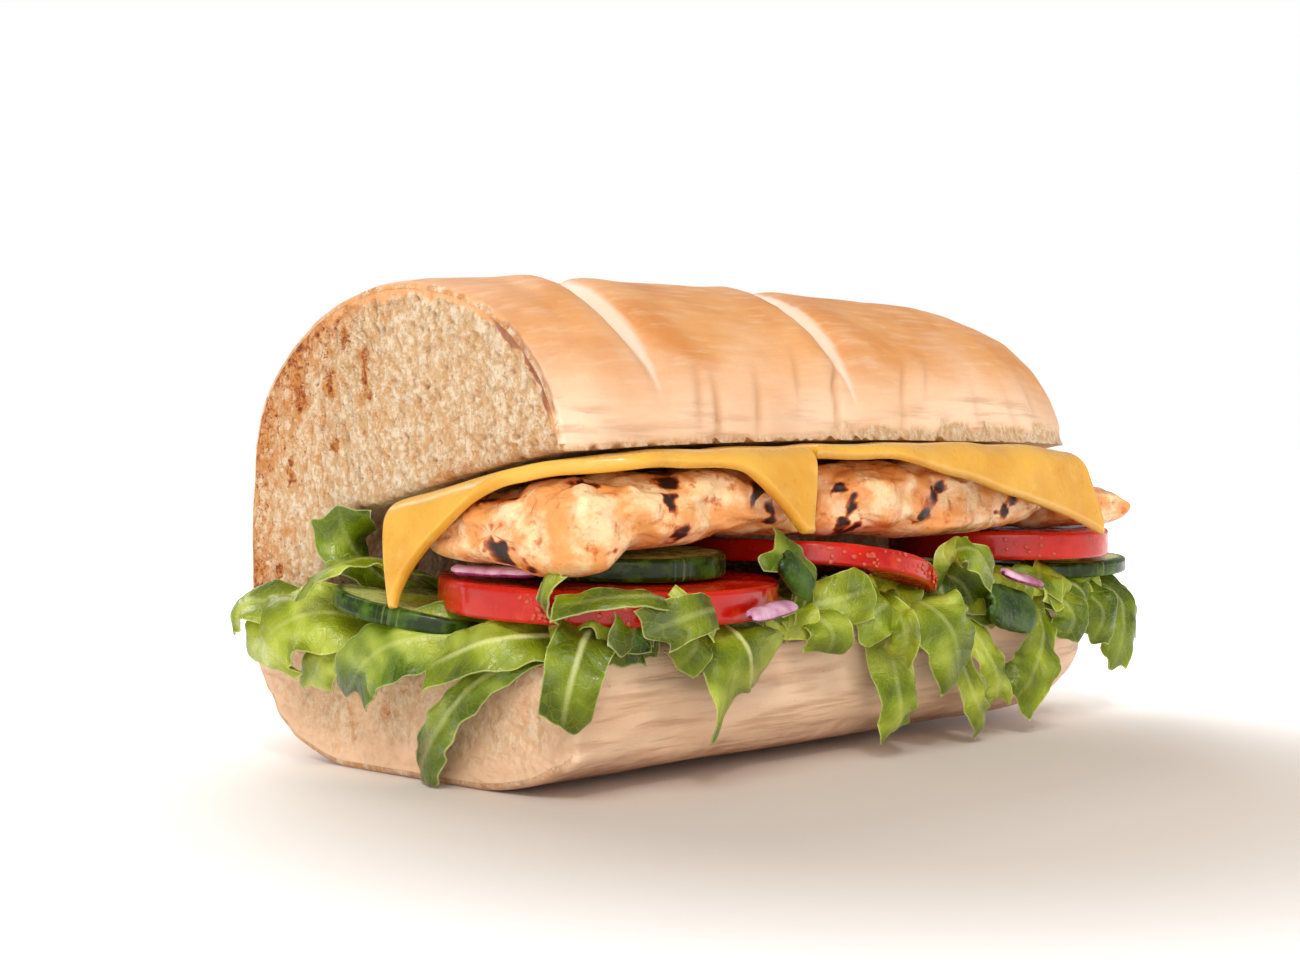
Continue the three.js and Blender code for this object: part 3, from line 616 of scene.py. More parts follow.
def roll_crust():
    """The crust's rings: stations along the roll, closer at the heel and round the cut's edge,
    each the outside curve and then the slit. Gives the rings, the stations, the share of crust
    and the depth of the pores on the slit's crumb."""
    turn = np.linspace(0, HEEL_TURN, HEEL_RINGS + 1)[1:]
    heel = HEEL_START + (HEEL_X - HEEL_START) * np.sin(turn) ** (2 / HEEL_POWER)
    straight = np.linspace(CUT_X + CUT_ROUND, HEEL_START, STRAIGHT_RINGS)
    station = np.concatenate([straight, heel])[:, None]
    outside = even_steps(outside_curve(station, CURVE_STEPS), OUTER_COUNT)
    slit = even_steps(slit_curve(station, CURVE_STEPS // 4), SLIT_COUNT + 2)[:, 1:-1]
    section = np.concatenate([outside, slit], axis=1)
    stations = np.broadcast_to(station, section.shape[:2])
    rings = np.concatenate([stations[..., None], section], -1)
    rings[..., 0] = lean(*np.moveaxis(rings, -1, 0))
    normal = normals_of(rings, closed=True)
    known = rings[CROWN_RING, CROWN_POINT]
    out_way = known - [known[0], MIDDLE_Y, CROWN_BASE_Z]
    normal *= np.sign((normal[CROWN_RING, CROWN_POINT] * out_way).sum())
    step = np.arange(OUTER_COUNT)
    outer = smooth(np.minimum(step, step[::-1]) * POINT_STEP, 0.0, CRUST_EDGE)
    step = np.arange(SLIT_COUNT)
    deep = smooth(np.minimum(step, step[::-1]).astype(float), 0.0, 5.0)
    pores = smooth(-nearest_seed(rings, LARGE_PORE, 41), -0.42, -0.1)
    pores = pores + 0.7 * smooth(-nearest_seed(rings, SMALL_PORE, 43), -0.4, -0.1)
    pores = pores * np.concatenate([1 - outer, deep])
    outer = np.concatenate([outer, np.zeros(SLIT_COUNT)])
    shift = outer * crust_relief(stations, rings) - PORE_DEPTH * (1 - outer) * pores
    rings = rings + normal * shift[..., None]

    flat = normal[0] * [0, 1, 1]
    flat /= np.linalg.norm(flat, axis=-1, keepdims=True)
    bend = np.linspace(0, np.pi / 2, ROUND_RINGS + 1)[1:, None, None]
    edge = rings[0] - CUT_ROUND * (flat * (1 - np.cos(bend)) + [1, 0, 0] * np.sin(bend))
    inner = rings[0] - CUT_ROUND * flat + [0.3, 0, 0]
    rings = np.concatenate([inner[None], edge[::-1], rings])
    added = (ROUND_RINGS + 1, stations.shape[1])
    stations = np.concatenate([np.broadcast_to(stations[:1], added), stations])
    share = np.broadcast_to(outer, stations.shape)
    pores = np.concatenate([np.broadcast_to(pores[:1], added), pores])
    return rings, stations, share, pores * (1 - share)


rings, stations, outer_share, slit_pores = roll_crust()
rim = rings[1]
x, y, z = np.moveaxis(rings, -1, 0)
ragged = clouds(rings, 2.2, 91, 2)
torn = torn_lip(rings)
near_cut = smooth(CUT_X + 0.15 + 0.5 * ragged - x, -0.3, 0.3)
crust_value = outer_share * (1 - torn) * (1 - 0.8 * near_cut)
crown = smooth(z, LIP_Z + 1, LIP_Z + 20)
heel = smooth(x, 52, 72) * smooth(z, 48, 60)
# The dark line where the crown's crust meets the cut, broken here and there
edge_line = smooth(-y, 11, 16) * smooth(z, 49, 53) * smooth(CUT_X + 0.3 + 0.35 * ragged - x, -0.25, 0.15)
edge_line = edge_line * smooth(clouds(rings, 9, 93) + smooth(z, 52, 60) - smooth(z, 66, 71), 0.1, 0.5)
# The browned foot, and the gold of the crown, the heel and the back, over paler sides
foot = 0.55 * smooth(4.0 + 1.5 * ragged - z, -3.0, 2.5)
upper = smooth(z, 40, 50)
streak = clouds(rings * [0.3, 0.6, 1], 6.0, 15, 2)
bake = crown + 0.25 * heel + 0.34 * smooth(y, -5, 25)
bake = bake + (0.2 * upper + 0.08) * clouds(rings, 14, 5, 2) + 0.16 * (1 - upper) * (streak + 0.3)
values = {
    "crust": crust_value,
    "bake": np.clip(bake, 0, 1),
    "stripe": 0.85 * stripe_value(stations, rings),
    # The crease value darkens the creases as painted shade
    "crease": np.clip(0.9 * crease_value(rings), 0, 0.7),
    "brown": np.clip(edge_line + foot, 0, 0.9) * outer_share,
    "toast": 0.25 + 0.2 * near_cut - 0.3 * torn,
    # The pore value paints shade into the slit's pits, and a little over the torn lip
    "pore": slit_pores * 0.8 + 0.1 * torn,
}
make_piece("roll_crust", [forked_shell(rings)], bread_material, ["roll"],
           {key: np.ravel(number) for key, number in values.items()}, sharp=75)
crust_edge = edge_line[1]


# Toast marks on the cut: y and z of each, and its size
TOAST_MARKS = (
    (8.8, 65.0, 1.3), (8.4, 60.4, 1.7), (13.9, 66.6, 1.2), (17.7, 60.2, 1.9), (25.4, 57.9, 1.5),
    (16.4, 51.5, 1.6), (28.1, 46.7, 1.4), (12.0, 8.0, 2.0), (4.0, 10.5, 1.8), (-27.0, 13.0, 1.6),
    (31.0, 30.0, 1.2),
)


CUT_COLUMNS = 560
CUT_ROWS = 120
CALM_ROWS = 7
SLAB_DEPTH = 2.0
# Size, reach and depth of each kind of pore, and its seed
CUT_PORES = ((3.6, 0.3, 0.8, 11), (1.9, 0.42, 0.75, 12), (1.15, 0.46, 0.5, 13))


def cut_face():
    """The open crumb at the cut end, a slab inside the crust's edge. Its front runs in rows from
    the slit's edge to the crust's. Pores of several sizes sink into it, drawn out upright at the
    back, with soft tufts between them. Gives the grid, the pores' depth and each point's distance
    from the crust, in millimetres."""
    border_out = rim[:OUTER_COUNT, 1:]
    border_in = even_steps([rim[OUTER_COUNT:][::-1, 1:]], OUTER_COUNT)[0]
    out_curve = even_steps([border_out], CUT_COLUMNS)[0]
    in_curve = even_steps([border_in], CUT_COLUMNS)[0]
    part = np.linspace(0, 1, CUT_ROWS)[:, None, None]
    flat = in_curve + (out_curve - in_curve) * part
    grid = np.concatenate([np.full((CUT_ROWS, CUT_COLUMNS, 1), CUT_X), flat], -1)
    inside = np.linalg.norm(grid[..., 1:] - out_curve, axis=-1)
    upright = 1 - 0.62 * smooth(grid[..., 1], 4, 22) * smooth(grid[..., 2], 22, 34)
    fibre = np.stack([grid[..., 0], grid[..., 1] + 0.18 * grid[..., 2], grid[..., 2] * upright], -1)
    fibre = fibre + 0.5 * clouds(grid, 3.0, 23)[..., None]
    pore = 0.0
    for size, reach, depth, seed in CUT_PORES:
        pore = pore + depth * smooth(-nearest_seed(fibre, size, seed), -reach, -0.1)
    tufts = 0.3 * clouds(grid, 9, 21, 2) + 0.3 * clouds(fibre, 1.7, 22, 2)
    step = np.arange(CUT_ROWS)
    calm = np.clip(np.minimum(step, step[::-1])[:, None] / CALM_ROWS, 0.1, 1)
    closed = 1 - 0.6 * below_slit(grid[..., 2])
    grid[..., 0] += (0.75 * pore - 0.55 * tufts - 0.1) * calm * closed
    return grid, np.clip(pore, 0, 1), inside


def toast_value(points, inside):
    """How toasted the crumb is: clouds, a golden band inside the crust that is widest at the
    back, and small ragged marks."""
    _, y, z = np.moveaxis(points, -1, 0)
    band = np.exp(-(inside / (2.0 + 3.0 * smooth(y, 0, 25)))) * (0.35 + 0.65 * smooth(y, -5, 20))
    ragged = clouds(points, 1.3, 61, 2)
    marks = 0.0
    for at, height, size in TOAST_MARKS:
        away = np.hypot(y - at, 0.6 * (z - height)) / size
        marks = np.maximum(marks, smooth(-(away + 0.6 * ragged), -1.2, -0.3))
    spread = 0.2 + 0.22 * clouds(points, 10, 63, 2) + 0.14 * smooth(y, -10, 20) * smooth(z, 40, 60)
    return np.clip(spread + 0.6 * band - 0.3 * smooth(-z, -24, -12), 0, 1) + 0.65 * marks


grid, pore, inside = cut_face()
index = np.arange(grid.shape[0] * grid.shape[1]).reshape(grid.shape[:2])
behind = grid[[0, -1]].copy()
behind[..., 0] = CUT_X + SLAB_DEPTH
back = np.arange(2 * grid.shape[1]).reshape(2, -1) + index.size
sides = ((index[-1], back[1]), (back[1], back[0]), (back[0], index[0]))
strips = [grid_faces(np.stack(rows)) for rows in sides]
faces = np.concatenate([grid_faces(index)] + strips).tolist()
faces.append([*index[::-1, 0].tolist(), int(back[0, 0]), int(back[1, 0])])
faces.append([*index[:, -1].tolist(), int(back[1, -1]), int(back[0, -1])])
bound = smooth(0.9 + 0.9 * clouds(grid, 2.2, 91, 2) - inside, -0.3, 0.3) * smooth(grid[..., 2], 20, 40)
# Below the slit a thin skin has closed over most of the crumb, the more so towards the crust
low = below_slit(grid[..., 2])
skin_share = low * (0.5 + 0.5 * smooth(-inside, -6, 0) + 0.25 * clouds(grid, 3.0, 97, 2))
values = {
    # The pore value paints shade into the cut's pits
    "pore": 0.6 * pore,
    "toast": toast_value(grid, inside),
    "crust": np.clip(0.85 * bound * smooth(-grid[..., 1], -26, -12) + skin_share, 0, 1),
    "bake": 0.9 - 0.65 * low,
    "brown": np.interp(np.linspace(0, 1, pore.shape[1]), np.linspace(0, 1, OUTER_COUNT),
                       crust_edge[:OUTER_COUNT]) * bound,
}
values = {key: np.append(number, np.zeros(back.size)) for key, number in values.items()}
body = (np.concatenate([grid.reshape(-1, 3), behind.reshape(-1, 3)]), faces)
make_piece("roll_cut_face", [body], bread_material, ["roll"], values, sharp=180)


# Cheese
# Two slices of yellow cheese, melted enough to drape. Each is flat where it lies under the roof
# of the slit, and falls over the edge of the chicken round a small bend.
GAP = 0.4
CHEESE = 2.2
EDGE_X = -79.5
EDGE_Y = -44.2
EDGE_ROUND = 14.0
BEND = 3.0
BEND_LIMIT = 1.45


def cheese_z(x, y):
    """Height of the slice's middle under the roof, bowing down towards both ends."""
    roof = roof_z(np.clip(x, CUT_X, HEEL_START), np.maximum(y, -36))
    right = 2.2 * np.clip((x - 18) / 30, 0, 2) ** 2
    left = 1.6 * np.clip((-66 - x) / 14, 0, 1) ** 2
    return roof - GAP - CHEESE / 2 - 0.1 - right - left


def drape(x, y):
    """A point of the flat slice, carried over the rounded corner of the chicken: past the edge it
    bends down and then hangs by the length that is left."""
    corner = np.array([EDGE_X, EDGE_Y]) + EDGE_ROUND
    away_x = np.minimum(x - corner[0], 0)
    away_y = np.minimum(y - corner[1], 0)
    away = np.maximum(np.hypot(away_x, away_y), 1e-9)
    past = np.maximum(away - EDGE_ROUND, 0)
    turn = np.minimum(past / BEND, BEND_LIMIT)
    rest = np.maximum(past - BEND_LIMIT * BEND, 0)
    out = BEND * np.sin(turn) + rest * np.cos(BEND_LIMIT)
    down = BEND * (1 - np.cos(turn)) + rest * np.sin(BEND_LIMIT)
    reach = np.where(past > 0, (EDGE_ROUND + out) / away, 1)
    held = np.where(past > 0, EDGE_ROUND / away, 1)
    height = cheese_z(np.where(past > 0, np.where(x < corner[0], corner[0] + away_x * held, x), x),
                      np.where(past > 0, np.where(y < corner[1], corner[1] + away_y * held, y), y))
    return np.stack([
        np.where(x < corner[0], corner[0] + away_x * reach, x),
        np.where(y < corner[1], corner[1] + away_y * reach, y),
        height - down,
    ], -1)


def left_front(x):
    bottom = EDGE_Y - 0.8 - 13 * np.clip((x + 62) / 28, 0, 1) ** 1.7
    end = -9 + (EDGE_Y + 8.2) * (1 - np.clip((-66 - x) / 30.5, 0, 1) ** 2) ** 2.2
    return np.where(x > -66, bottom, end)


def left_back(x):
    return 2 - 7 * smooth(-x, 64, 77) - 3 * np.clip((-84 - x) / 12.5, 0, 1) ** 1.5


def right_front(x):
    return EDGE_Y - 0.6 - 17.5 * np.clip((x + 26) / 78, 0, 1) ** 1.15


def right_back(x):
    return -14 * np.clip((x - 30) / 20, 0, 1) ** 1.5


def cheese_slice(start, end, corner_shift, front_edge, back_edge, columns=150, rows=90):
    """A slice from start to end along x, between its back and front edges, draped, with its edges
    rounded and its faces a little uneven."""
    u, v = np.meshgrid(np.linspace(0, 1, columns), np.linspace(0, 1, rows), indexing="ij")
    u = u - np.sin(2 * np.pi * u) / (2 * np.pi) * 0.6
    v = v - np.sin(2 * np.pi * v) / (2 * np.pi) * 0.6
    straight = start + (end - start) * u
    y = back_edge(straight) + (front_edge(straight) - back_edge(straight)) * v
    x = straight + corner_shift * u ** 4 * np.clip((EDGE_Y + 6 - y) / 18, 0, 1)
    middle = drape(x, y)
    middle[..., 2] += 0.25 * v * np.sin(x * 0.33 + 2) * np.cos(y * 0.2)
    middle += 0.16 * clouds(middle, 8, 31, 2)[..., None] * [0.3, 1, 1]
    width = np.abs(front_edge(straight) - back_edge(straight))
    rim = np.minimum.reduce([u * (end - start), (1 - u) * (end - start), v * width, (1 - v) * width])
    round_edge = np.sqrt(np.clip(1 - (1 - np.clip(rim / 1.0, 0, 1)) ** 2, 0.06, 1))
    return sheet_shell(middle, CHEESE / 2 * round_edge)


CHEESE_AMBER = colour(230, 174, 62)
CHEESE_DEEP = colour(220, 156, 44)
CHEESE_LIGHT = colour(242, 200, 112)


def cheese_finish():
    """Amber and a little translucent, with faint clouds of tone and a soft dimpled gloss."""
    cheese = Finish("cheese", 0.3, subsurface=0.3, depth=0.003, tint=(1.0, 0.6, 0.15), coat=0.3)
    tone = cheese.noise(9, 3.0)
    base = cheese.over(CHEESE_AMBER, CHEESE_DEEP, tone, 0.35, 0.7)
    base = cheese.over(base, CHEESE_LIGHT, cheese.noise(4, 2.0), 0.6, 0.8, 0.0, 0.4)
    fine = cheese.math("MULTIPLY", cheese.noise(0.8, 2.0), 0.12)
    bumps = cheese.math("ADD", cheese.noise(3.5, 2.0), fine)
    rough = cheese.ramp(cheese.noise(5, 3.0), 0.3, 0.7, 0.22, 0.4)
    return cheese.finish(base, rough, cheese.bump(bumps, 0.5, 0.5))


cheese_material = cheese_finish()
CHEESE_SLICES = {
    "cheese_left": (-96.5, -31.0, -5.0, left_front, left_back),
    "cheese_right": (-30.3, 38.5, 8.0, right_front, right_back),
}
for node, slice_values in CHEESE_SLICES.items():
    body = cheese_slice(*slice_values)
    make_piece(node + "_slice", [body], cheese_material, [node])


# Chicken
# Grilled strips of chicken breast laid end to end under the cheese. Each is a lumpy bar whose
# rings follow the cheese above and the vegetables below, with torn fibres and char spots.
def chicken_bottom(x, y):
    """Height of the strips' underside: a bulge at x = -42, a hollow at x = 8, and lower at the
    left end, the more so at its front corner, and under the right strip."""
    bulge = 2.3 * np.exp(-((x + 42) / 12) ** 2) - 1.1 * np.exp(-((x - 8) / 13) ** 2)
    corner = 1.2 * smooth(-x, 66, 74) * smooth(-y, 26, 32)
    left = 2.2 * smooth(-x, 68, 74) + corner
    right = 0.6 * smooth(x, 40, 46)
    return 34.9 + bulge + 0.7 * smooth(x, -34, -10) + 0.02 * (y + 44) - left - right


def wavy(a, b, seed):
    """A smooth uneven value between about -1 and 1, made of three sine waves."""
    first = np.sin(a * 1.31 + seed * 2.17) * np.cos(b * 1.73 - seed * 1.37)
    return 0.6 * first + 0.4 * np.sin(a * 0.57 - b * 0.91 + seed * 4.11)


END_POWER = 10
FRONT_POWER = 0.6
TOP_POWER = 0.55
RELIEF_RANGE = (-1.6, 0.45)


def chicken_strip(start, end, front, back, lumps, seed, stations=190, around=190):
    """Rings along the strip, closer at its ends, each a rounded box between the cheese and the
    vegetables, scaled down at the ends, then roughened by lumps, fibres and pits."""
    run = -np.cos(np.pi * np.linspace(0.012, 0.988, stations))[:, None]
    x = (start + end) / 2 + (end - start) / 2 * signed_power(run, 0.8)
    part = np.clip(np.abs((2 * x - start - end) / (end - start)), 0, 1)
    taper = np.maximum(1 - part ** END_POWER, 0.004) ** (1 / 3)
    turn = np.linspace(0, 2 * np.pi, around, endpoint=False)
    bumpy = 1 + lumps * (wavy(x * 0.22, 1.4 * np.pi * np.sin(turn / 2), seed) - 0.45)
    y_reach = (back - front) / 2 * taper ** 0.7 * bumpy
    y = (front + back) / 2 - y_reach * signed_power(np.cos(turn), FRONT_POWER)
    held = np.clip(y, front, back)
    top = cheese_z(x, held) - CHEESE / 2 - GAP
    bottom = chicken_bottom(x, held)
    z = (top + bottom) / 2 + (top - bottom) / 2 * taper * bumpy * signed_power(np.sin(turn), TOP_POWER)
    rings = np.stack([x + 0 * y, y, z], -1)
    normal = normals_of(rings, closed=True)
    normal *= np.sign((normal * (rings - rings.mean(1, keepdims=True))).sum(-1, keepdims=True).mean())
    slant = rings @ np.array([[0.5, 0, 0], [0, 1, 0], [0.3, 0, 1]])
    relief = 1.3 * clouds(rings, 7, seed, 2) + 0.7 * clouds(slant, 3.0, seed + 3, 2)
    relief = relief + 0.35 * np.abs(clouds(slant, 1.6, seed + 6))
    relief = relief - 0.8 * smooth(-nearest_seed(slant, 6.5, seed + 5), -0.42, -0.08)
    under = smooth(rings[..., 2], 36, 38)
    return rings + normal * (np.clip(relief - 0.3, *RELIEF_RANGE) * (0.2 + 0.8 * under))[..., None]


# Char spots: the middle of each, its width and its height, where a grill bar crossed the strips
CHARS = (
    (-77.8, -22.6, 43.0, 1.5, 1.8), (-78.8, -27.3, 43.2, 1.4, 1.0), (-80.4, -26.4, 37.4, 1.5, 2.2),
    (-80.0, -29.0, 35.6, 1.5, 1.8), (-79.0, -33.0, 34.2, 0.9, 1.6), (-73.1, -37.3, 45.3, 1.7, 1.3),
    (-75.9, -41.0, 40.7, 1.2, 1.1), (-76.2, -40.9, 38.3, 0.8, 0.8), (-74.3, -40.6, 35.8, 1.7, 1.0),
    (-60.6, -41.0, 45.8, 1.7, 1.2), (-62.3, -43.7, 42.8, 1.2, 1.5), (-60.5, -43.0, 38.4, 1.7, 1.5),
    (-44.3, -44.1, 43.4, 1.3, 1.7), (-40.1, -43.5, 40.3, 1.0, 1.4), (-16.6, -39.4, 37.9, 2.0, 1.4),
    (-17.3, -41.3, 41.2, 1.1, 1.7), (-18.8, -40.1, 43.6, 1.3, 0.8), (0.0, -43.1, 39.0, 1.6, 1.6),
    (2.3, -43.4, 42.4, 1.5, 1.3), (5.4, -43.4, 43.7, 1.8, 0.8), (24.3, -42.5, 39.0, 1.9, 1.2),
    (27.2, -42.6, 41.4, 1.4, 1.2), (52.0, -43.0, 43.8, 1.2, 0.8),
)
CHAR_SPREAD = 1.05


def char_value(points):
    """1 in the middle of each char spot, ragged at its edge and 0 beyond."""
    ragged = 0.75 * clouds(points, 1.3, 61, 3)
    total = 0.0
    for at, out, height, width, tall in CHARS:
        aside = np.hypot(points[:, 0] - at, points[:, 1] - out) / (CHAR_SPREAD * width)
        away = np.hypot(aside, (points[:, 2] - height) / (CHAR_SPREAD * tall))
        total = np.maximum(total, smooth(-(away + ragged), -1.45, -0.35))
    return total


CHICKEN_CREAM = colour(250, 214, 164)
CHICKEN_TAN = colour(234, 158, 88)
CHICKEN_ORANGE = colour(200, 96, 22)
CHICKEN_BROWN = colour(120, 48, 14)
CHICKEN_CHAR = colour(44, 14, 4)


def chicken_finish():
    """Cream meat with tan and orange browning in blotches, near black where the grill bars
    touched, and a wet gloss."""
    meat = Finish("chicken", 0.34, subsurface=0.2, tint=(1.0, 0.5, 0.25), coat=0.22, specular=0.35)
    char = meat.value("char")
    blotch = meat.noise(7, 5.0, 0.6)
    fibre = meat.noise(1.5, 5.0, 0.65, meat.stretched(0.45, 1.0, 1.0))
    base = meat.over(CHICKEN_CREAM, CHICKEN_TAN, blotch, 0.36, 0.56)
    base = meat.over(base, CHICKEN_ORANGE, meat.noise(3.2, 5.0, 0.65), 0.55, 0.68, 0.0, 0.9)
    base = meat.over(base, CHICKEN_ORANGE, fibre, 0.56, 0.7, 0.0, 0.45)
    base = meat.over(base, CHICKEN_ORANGE, char, 0.0, 0.25, 0.0, 0.9)
    base = meat.over(base, CHICKEN_BROWN, char, 0.2, 0.5)
    base = meat.over(base, CHICKEN_CHAR, char, 0.45, 0.8)
    rough = meat.ramp(meat.noise(3, 3.0), 0.35, 0.7, 0.16, 0.5)
    rough = meat.math("ADD", rough, meat.math("MULTIPLY", char, 0.3))
    return meat.finish(base, rough, meat.bump(fibre, 0.6, 0.6))


chicken_material = chicken_finish()
CHICKEN_STRIPS = {
    "chicken_left": (-81, -24.5, -44.4, -8, 0.05, 2),
    "chicken_middle": (-23.5, 41, -44, -9, 0.05, 5),
    "chicken_right": (42, 67, -43.4, -14, 0.06, 9),
}
for node, strip_values in CHICKEN_STRIPS.items():
    rings = chicken_strip(*strip_values)
    points, faces = ring_shell(rings)
    make_piece(node + "_strip", [(points, faces)], chicken_material, [node],
               {"char": char_value(points)}, sharp=80)


# Tomato and cucumber
# Round slices cut across the fruit. Each is a disc whose rim is the skin, a little rounded, and
# whose faces are the flesh. tilt_x lifts the back edge and tilt_y lowers the right-hand edge.
RIM_ROUND = 0.7
FACE_RINGS = 26
SIDE_RINGS = 10
UNEVEN = 0.012


def round_slice(radius, thickness, at, tilt_x=0.0, tilt_y=0.0, bow=0.0, seed=1, around=260):
    """Rings from the middle of the lower face out, up the rim and back over the upper face. The
    radius swells a little unevenly round the slice. Gives the body, its values, and a function
    that places further points given in the slice's own axes."""
    half = thickness / 2
    inner, straight = radius - RIM_ROUND, half - RIM_ROUND
    flat = np.linspace(0.6, inner, FACE_RINGS)
    curve = np.linspace(-np.pi / 2, 0, 7)[1:]
    side = np.linspace(-straight, straight, SIDE_RINGS + 2)[1:-1]
    lower = np.concatenate([flat, inner + RIM_ROUND * np.cos(curve)])
    lower_height = np.concatenate([np.full(FACE_RINGS, -half), RIM_ROUND * np.sin(curve) - straight])
    radii = np.concatenate([lower, np.full(SIDE_RINGS, radius), lower[::-1]])[:, None]
    heights = np.concatenate([lower_height, side, -lower_height[::-1]])[:, None]
    turn = np.linspace(0, 2 * np.pi, around, endpoint=False)
    circle = np.stack([np.cos(turn), np.sin(turn), 0 * turn], -1)
    reach = radii * (1 + UNEVEN * clouds(circle * 2, 1, seed, 2))
    local = np.stack([reach * np.cos(turn), reach * np.sin(turn), heights + 0 * reach], -1)
    skin = smooth(reach / radius, 0.94, 0.985)
    local[..., 2] += 0.2 * clouds(local, 6, seed + 2, 2) * (1 - skin)
    cos_x, sin_x = np.cos(np.radians(tilt_x)), np.sin(np.radians(tilt_x))
    cos_y, sin_y = np.cos(np.radians(tilt_y)), np.sin(np.radians(tilt_y))
    turn_x = np.array([[1, 0, 0], [0, cos_x, -sin_x], [0, sin_x, cos_x]])
    turn_y = np.array([[cos_y, 0, sin_y], [0, 1, 0], [-sin_y, 0, cos_y]])

    def placed(points):
        bent = points - np.array([0, 0, bow]) * (points[..., :1] / radius) ** 2
        return bent @ (turn_y @ turn_x).T + np.array(at)

    values = {"skin": skin, "share": reach / radius, "angle": np.broadcast_to(turn, reach.shape)}
    values = {key: with_middles(number) for key, number in values.items()}
    return ring_shell(placed(local)), values, placed


def with_middles(number):
    """A value for each point of a ring shell, with none for the two points in its ends' middles."""
    return np.append(np.ravel(number), [0, 0])


DROP_SIZE = (0.18, 0.44)


def wet_drops(radius, thickness, placed, arc, count, seed):
    """Drops of water on a slice's rim between two angles in degrees: flattened domes half sunk in
    the skin, of mixed sizes, a few drawn out along the rim."""
    chance = np.random.default_rng(seed)
    drops = []
    rise = np.linspace(-np.pi / 2, np.pi / 2, 8)[1:-1, None]
    round_turn = np.linspace(0, 2 * np.pi, 14, endpoint=False)
    for _ in range(count):
        size = chance.uniform(*DROP_SIZE)
        angle = np.radians(chance.uniform(*arc))
        height = chance.uniform(-0.38, 0.38) * thickness
        aside = size * chance.choice([1.0, 1.2, 2.2], p=[0.6, 0.3, 0.1]) * np.cos(rise) * np.cos(round_turn)
        up = size * np.cos(rise) * np.sin(round_turn)
        out = radius + 0.08 + 0.55 * size * np.sin(rise) + 0 * up
        here = angle + aside / radius
        dome = np.stack([out * np.cos(here), out * np.sin(here), height + up], -1)
        drops.append(ring_shell(placed(dome)))
    return drops


TOMATO_RED = colour(208, 32, 6)
TOMATO_DEEP = colour(178, 14, 2)
TOMATO_PINK = colour(222, 74, 36)
TOMATO_DROP_HIGHLIGHT = colour(236, 118, 84)
TOMATO_FLESH = colour(214, 52, 28)


def tomato_finish():
    """Wet red skin, paler and pinker in patches, over softer orange-red flesh with pale walls. The water
    drops are a lighter red, a painted highlight.
    """
    tomato = Finish("tomato", 0.25, subsurface=0.25, depth=0.003, tint=(1.0, 0.25, 0.15), coat=0.15,
                    specular=0.3)
    skin = tomato.over(TOMATO_RED, TOMATO_DEEP, tomato.noise(10, 3.0), 0.35, 0.7)
    skin = tomato.over(skin, TOMATO_PINK, tomato.noise(5, 4.0), 0.58, 0.75, 0.0, 0.5)
    flesh = tomato.over(TOMATO_FLESH, TOMATO_RED, tomato.cells(7), 0.2, 0.6)
    base = tomato.mix(tomato.value("skin"), flesh, skin)
    # Painted highlight: the drops are lighter red
    base = tomato.mix(tomato.math("MULTIPLY", tomato.value("drop"), 0.4), base, TOMATO_DROP_HIGHLIGHT)
    rough = tomato.ramp(tomato.noise(4, 4.0), 0.35, 0.7, 0.12, 0.32)
    rough = tomato.math("MULTIPLY", rough, tomato.ramp(tomato.value("drop"), 0.0, 1.0, 1.0, 0.2))
    grain = tomato.math("ADD", tomato.noise(2.4, 3.0), tomato.math("MULTIPLY", tomato.noise(0.5, 2.0), 0.3))
    return tomato.finish(base, rough, tomato.bump(grain, 0.18, 0.35))


CUCUMBER_RIND = colour(30, 48, 0)
CUCUMBER_STREAK = colour(176, 192, 110)
CUCUMBER_GREEN = colour(74, 106, 18)
CUCUMBER_FLESH = colour(218, 220, 128)
CUCUMBER_HEART = colour(190, 190, 66)


def cucumber_finish():
    """Dark waxy rind with upright whitish streaks, a green layer under it, then pale wet flesh
    that turns yellower towards the seeds."""
    cucumber = Finish("cucumber", 0.32, subsurface=0.25, depth=0.003, tint=(0.6, 1.0, 0.3), coat=0.06,
                      specular=0.25)
    share, skin = cucumber.value("share"), cucumber.value("skin")
    turn = cucumber.add("CombineXYZ", {"X": cucumber.value("angle")}).outputs["Vector"]
    streak = cucumber.add("TexNoise", {"Vector": turn, "Scale": 22.0, "Detail": 4.0, "Roughness": 0.7})
    patch = cucumber.add("TexNoise", {"Vector": turn, "Scale": 1.6, "Detail": 1.0})
    pale = cucumber.math("MULTIPLY", cucumber.ramp(streak.outputs["Fac"], 0.5, 0.62),
                         cucumber.ramp(patch.outputs["Fac"], 0.48, 0.62))
    rind = cucumber.over(CUCUMBER_RIND, CUCUMBER_GREEN, cucumber.noise(3, 4.0), 0.4, 0.7)
    rind = cucumber.mix(cucumber.math("MULTIPLY", pale, 0.5), rind, CUCUMBER_STREAK)
    flesh = cucumber.over(CUCUMBER_HEART, CUCUMBER_FLESH, share, 0.35, 0.7)
    flesh = cucumber.over(flesh, CUCUMBER_GREEN, share, 0.88, 0.965)
    base = cucumber.mix(skin, flesh, rind)
    rough = cucumber.ramp(cucumber.noise(3, 4.0), 0.35, 0.7, 0.18, 0.4)
    return cucumber.finish(base, rough, cucumber.bump(cucumber.noise(1.2, 3.0), 0.15, 0.4))


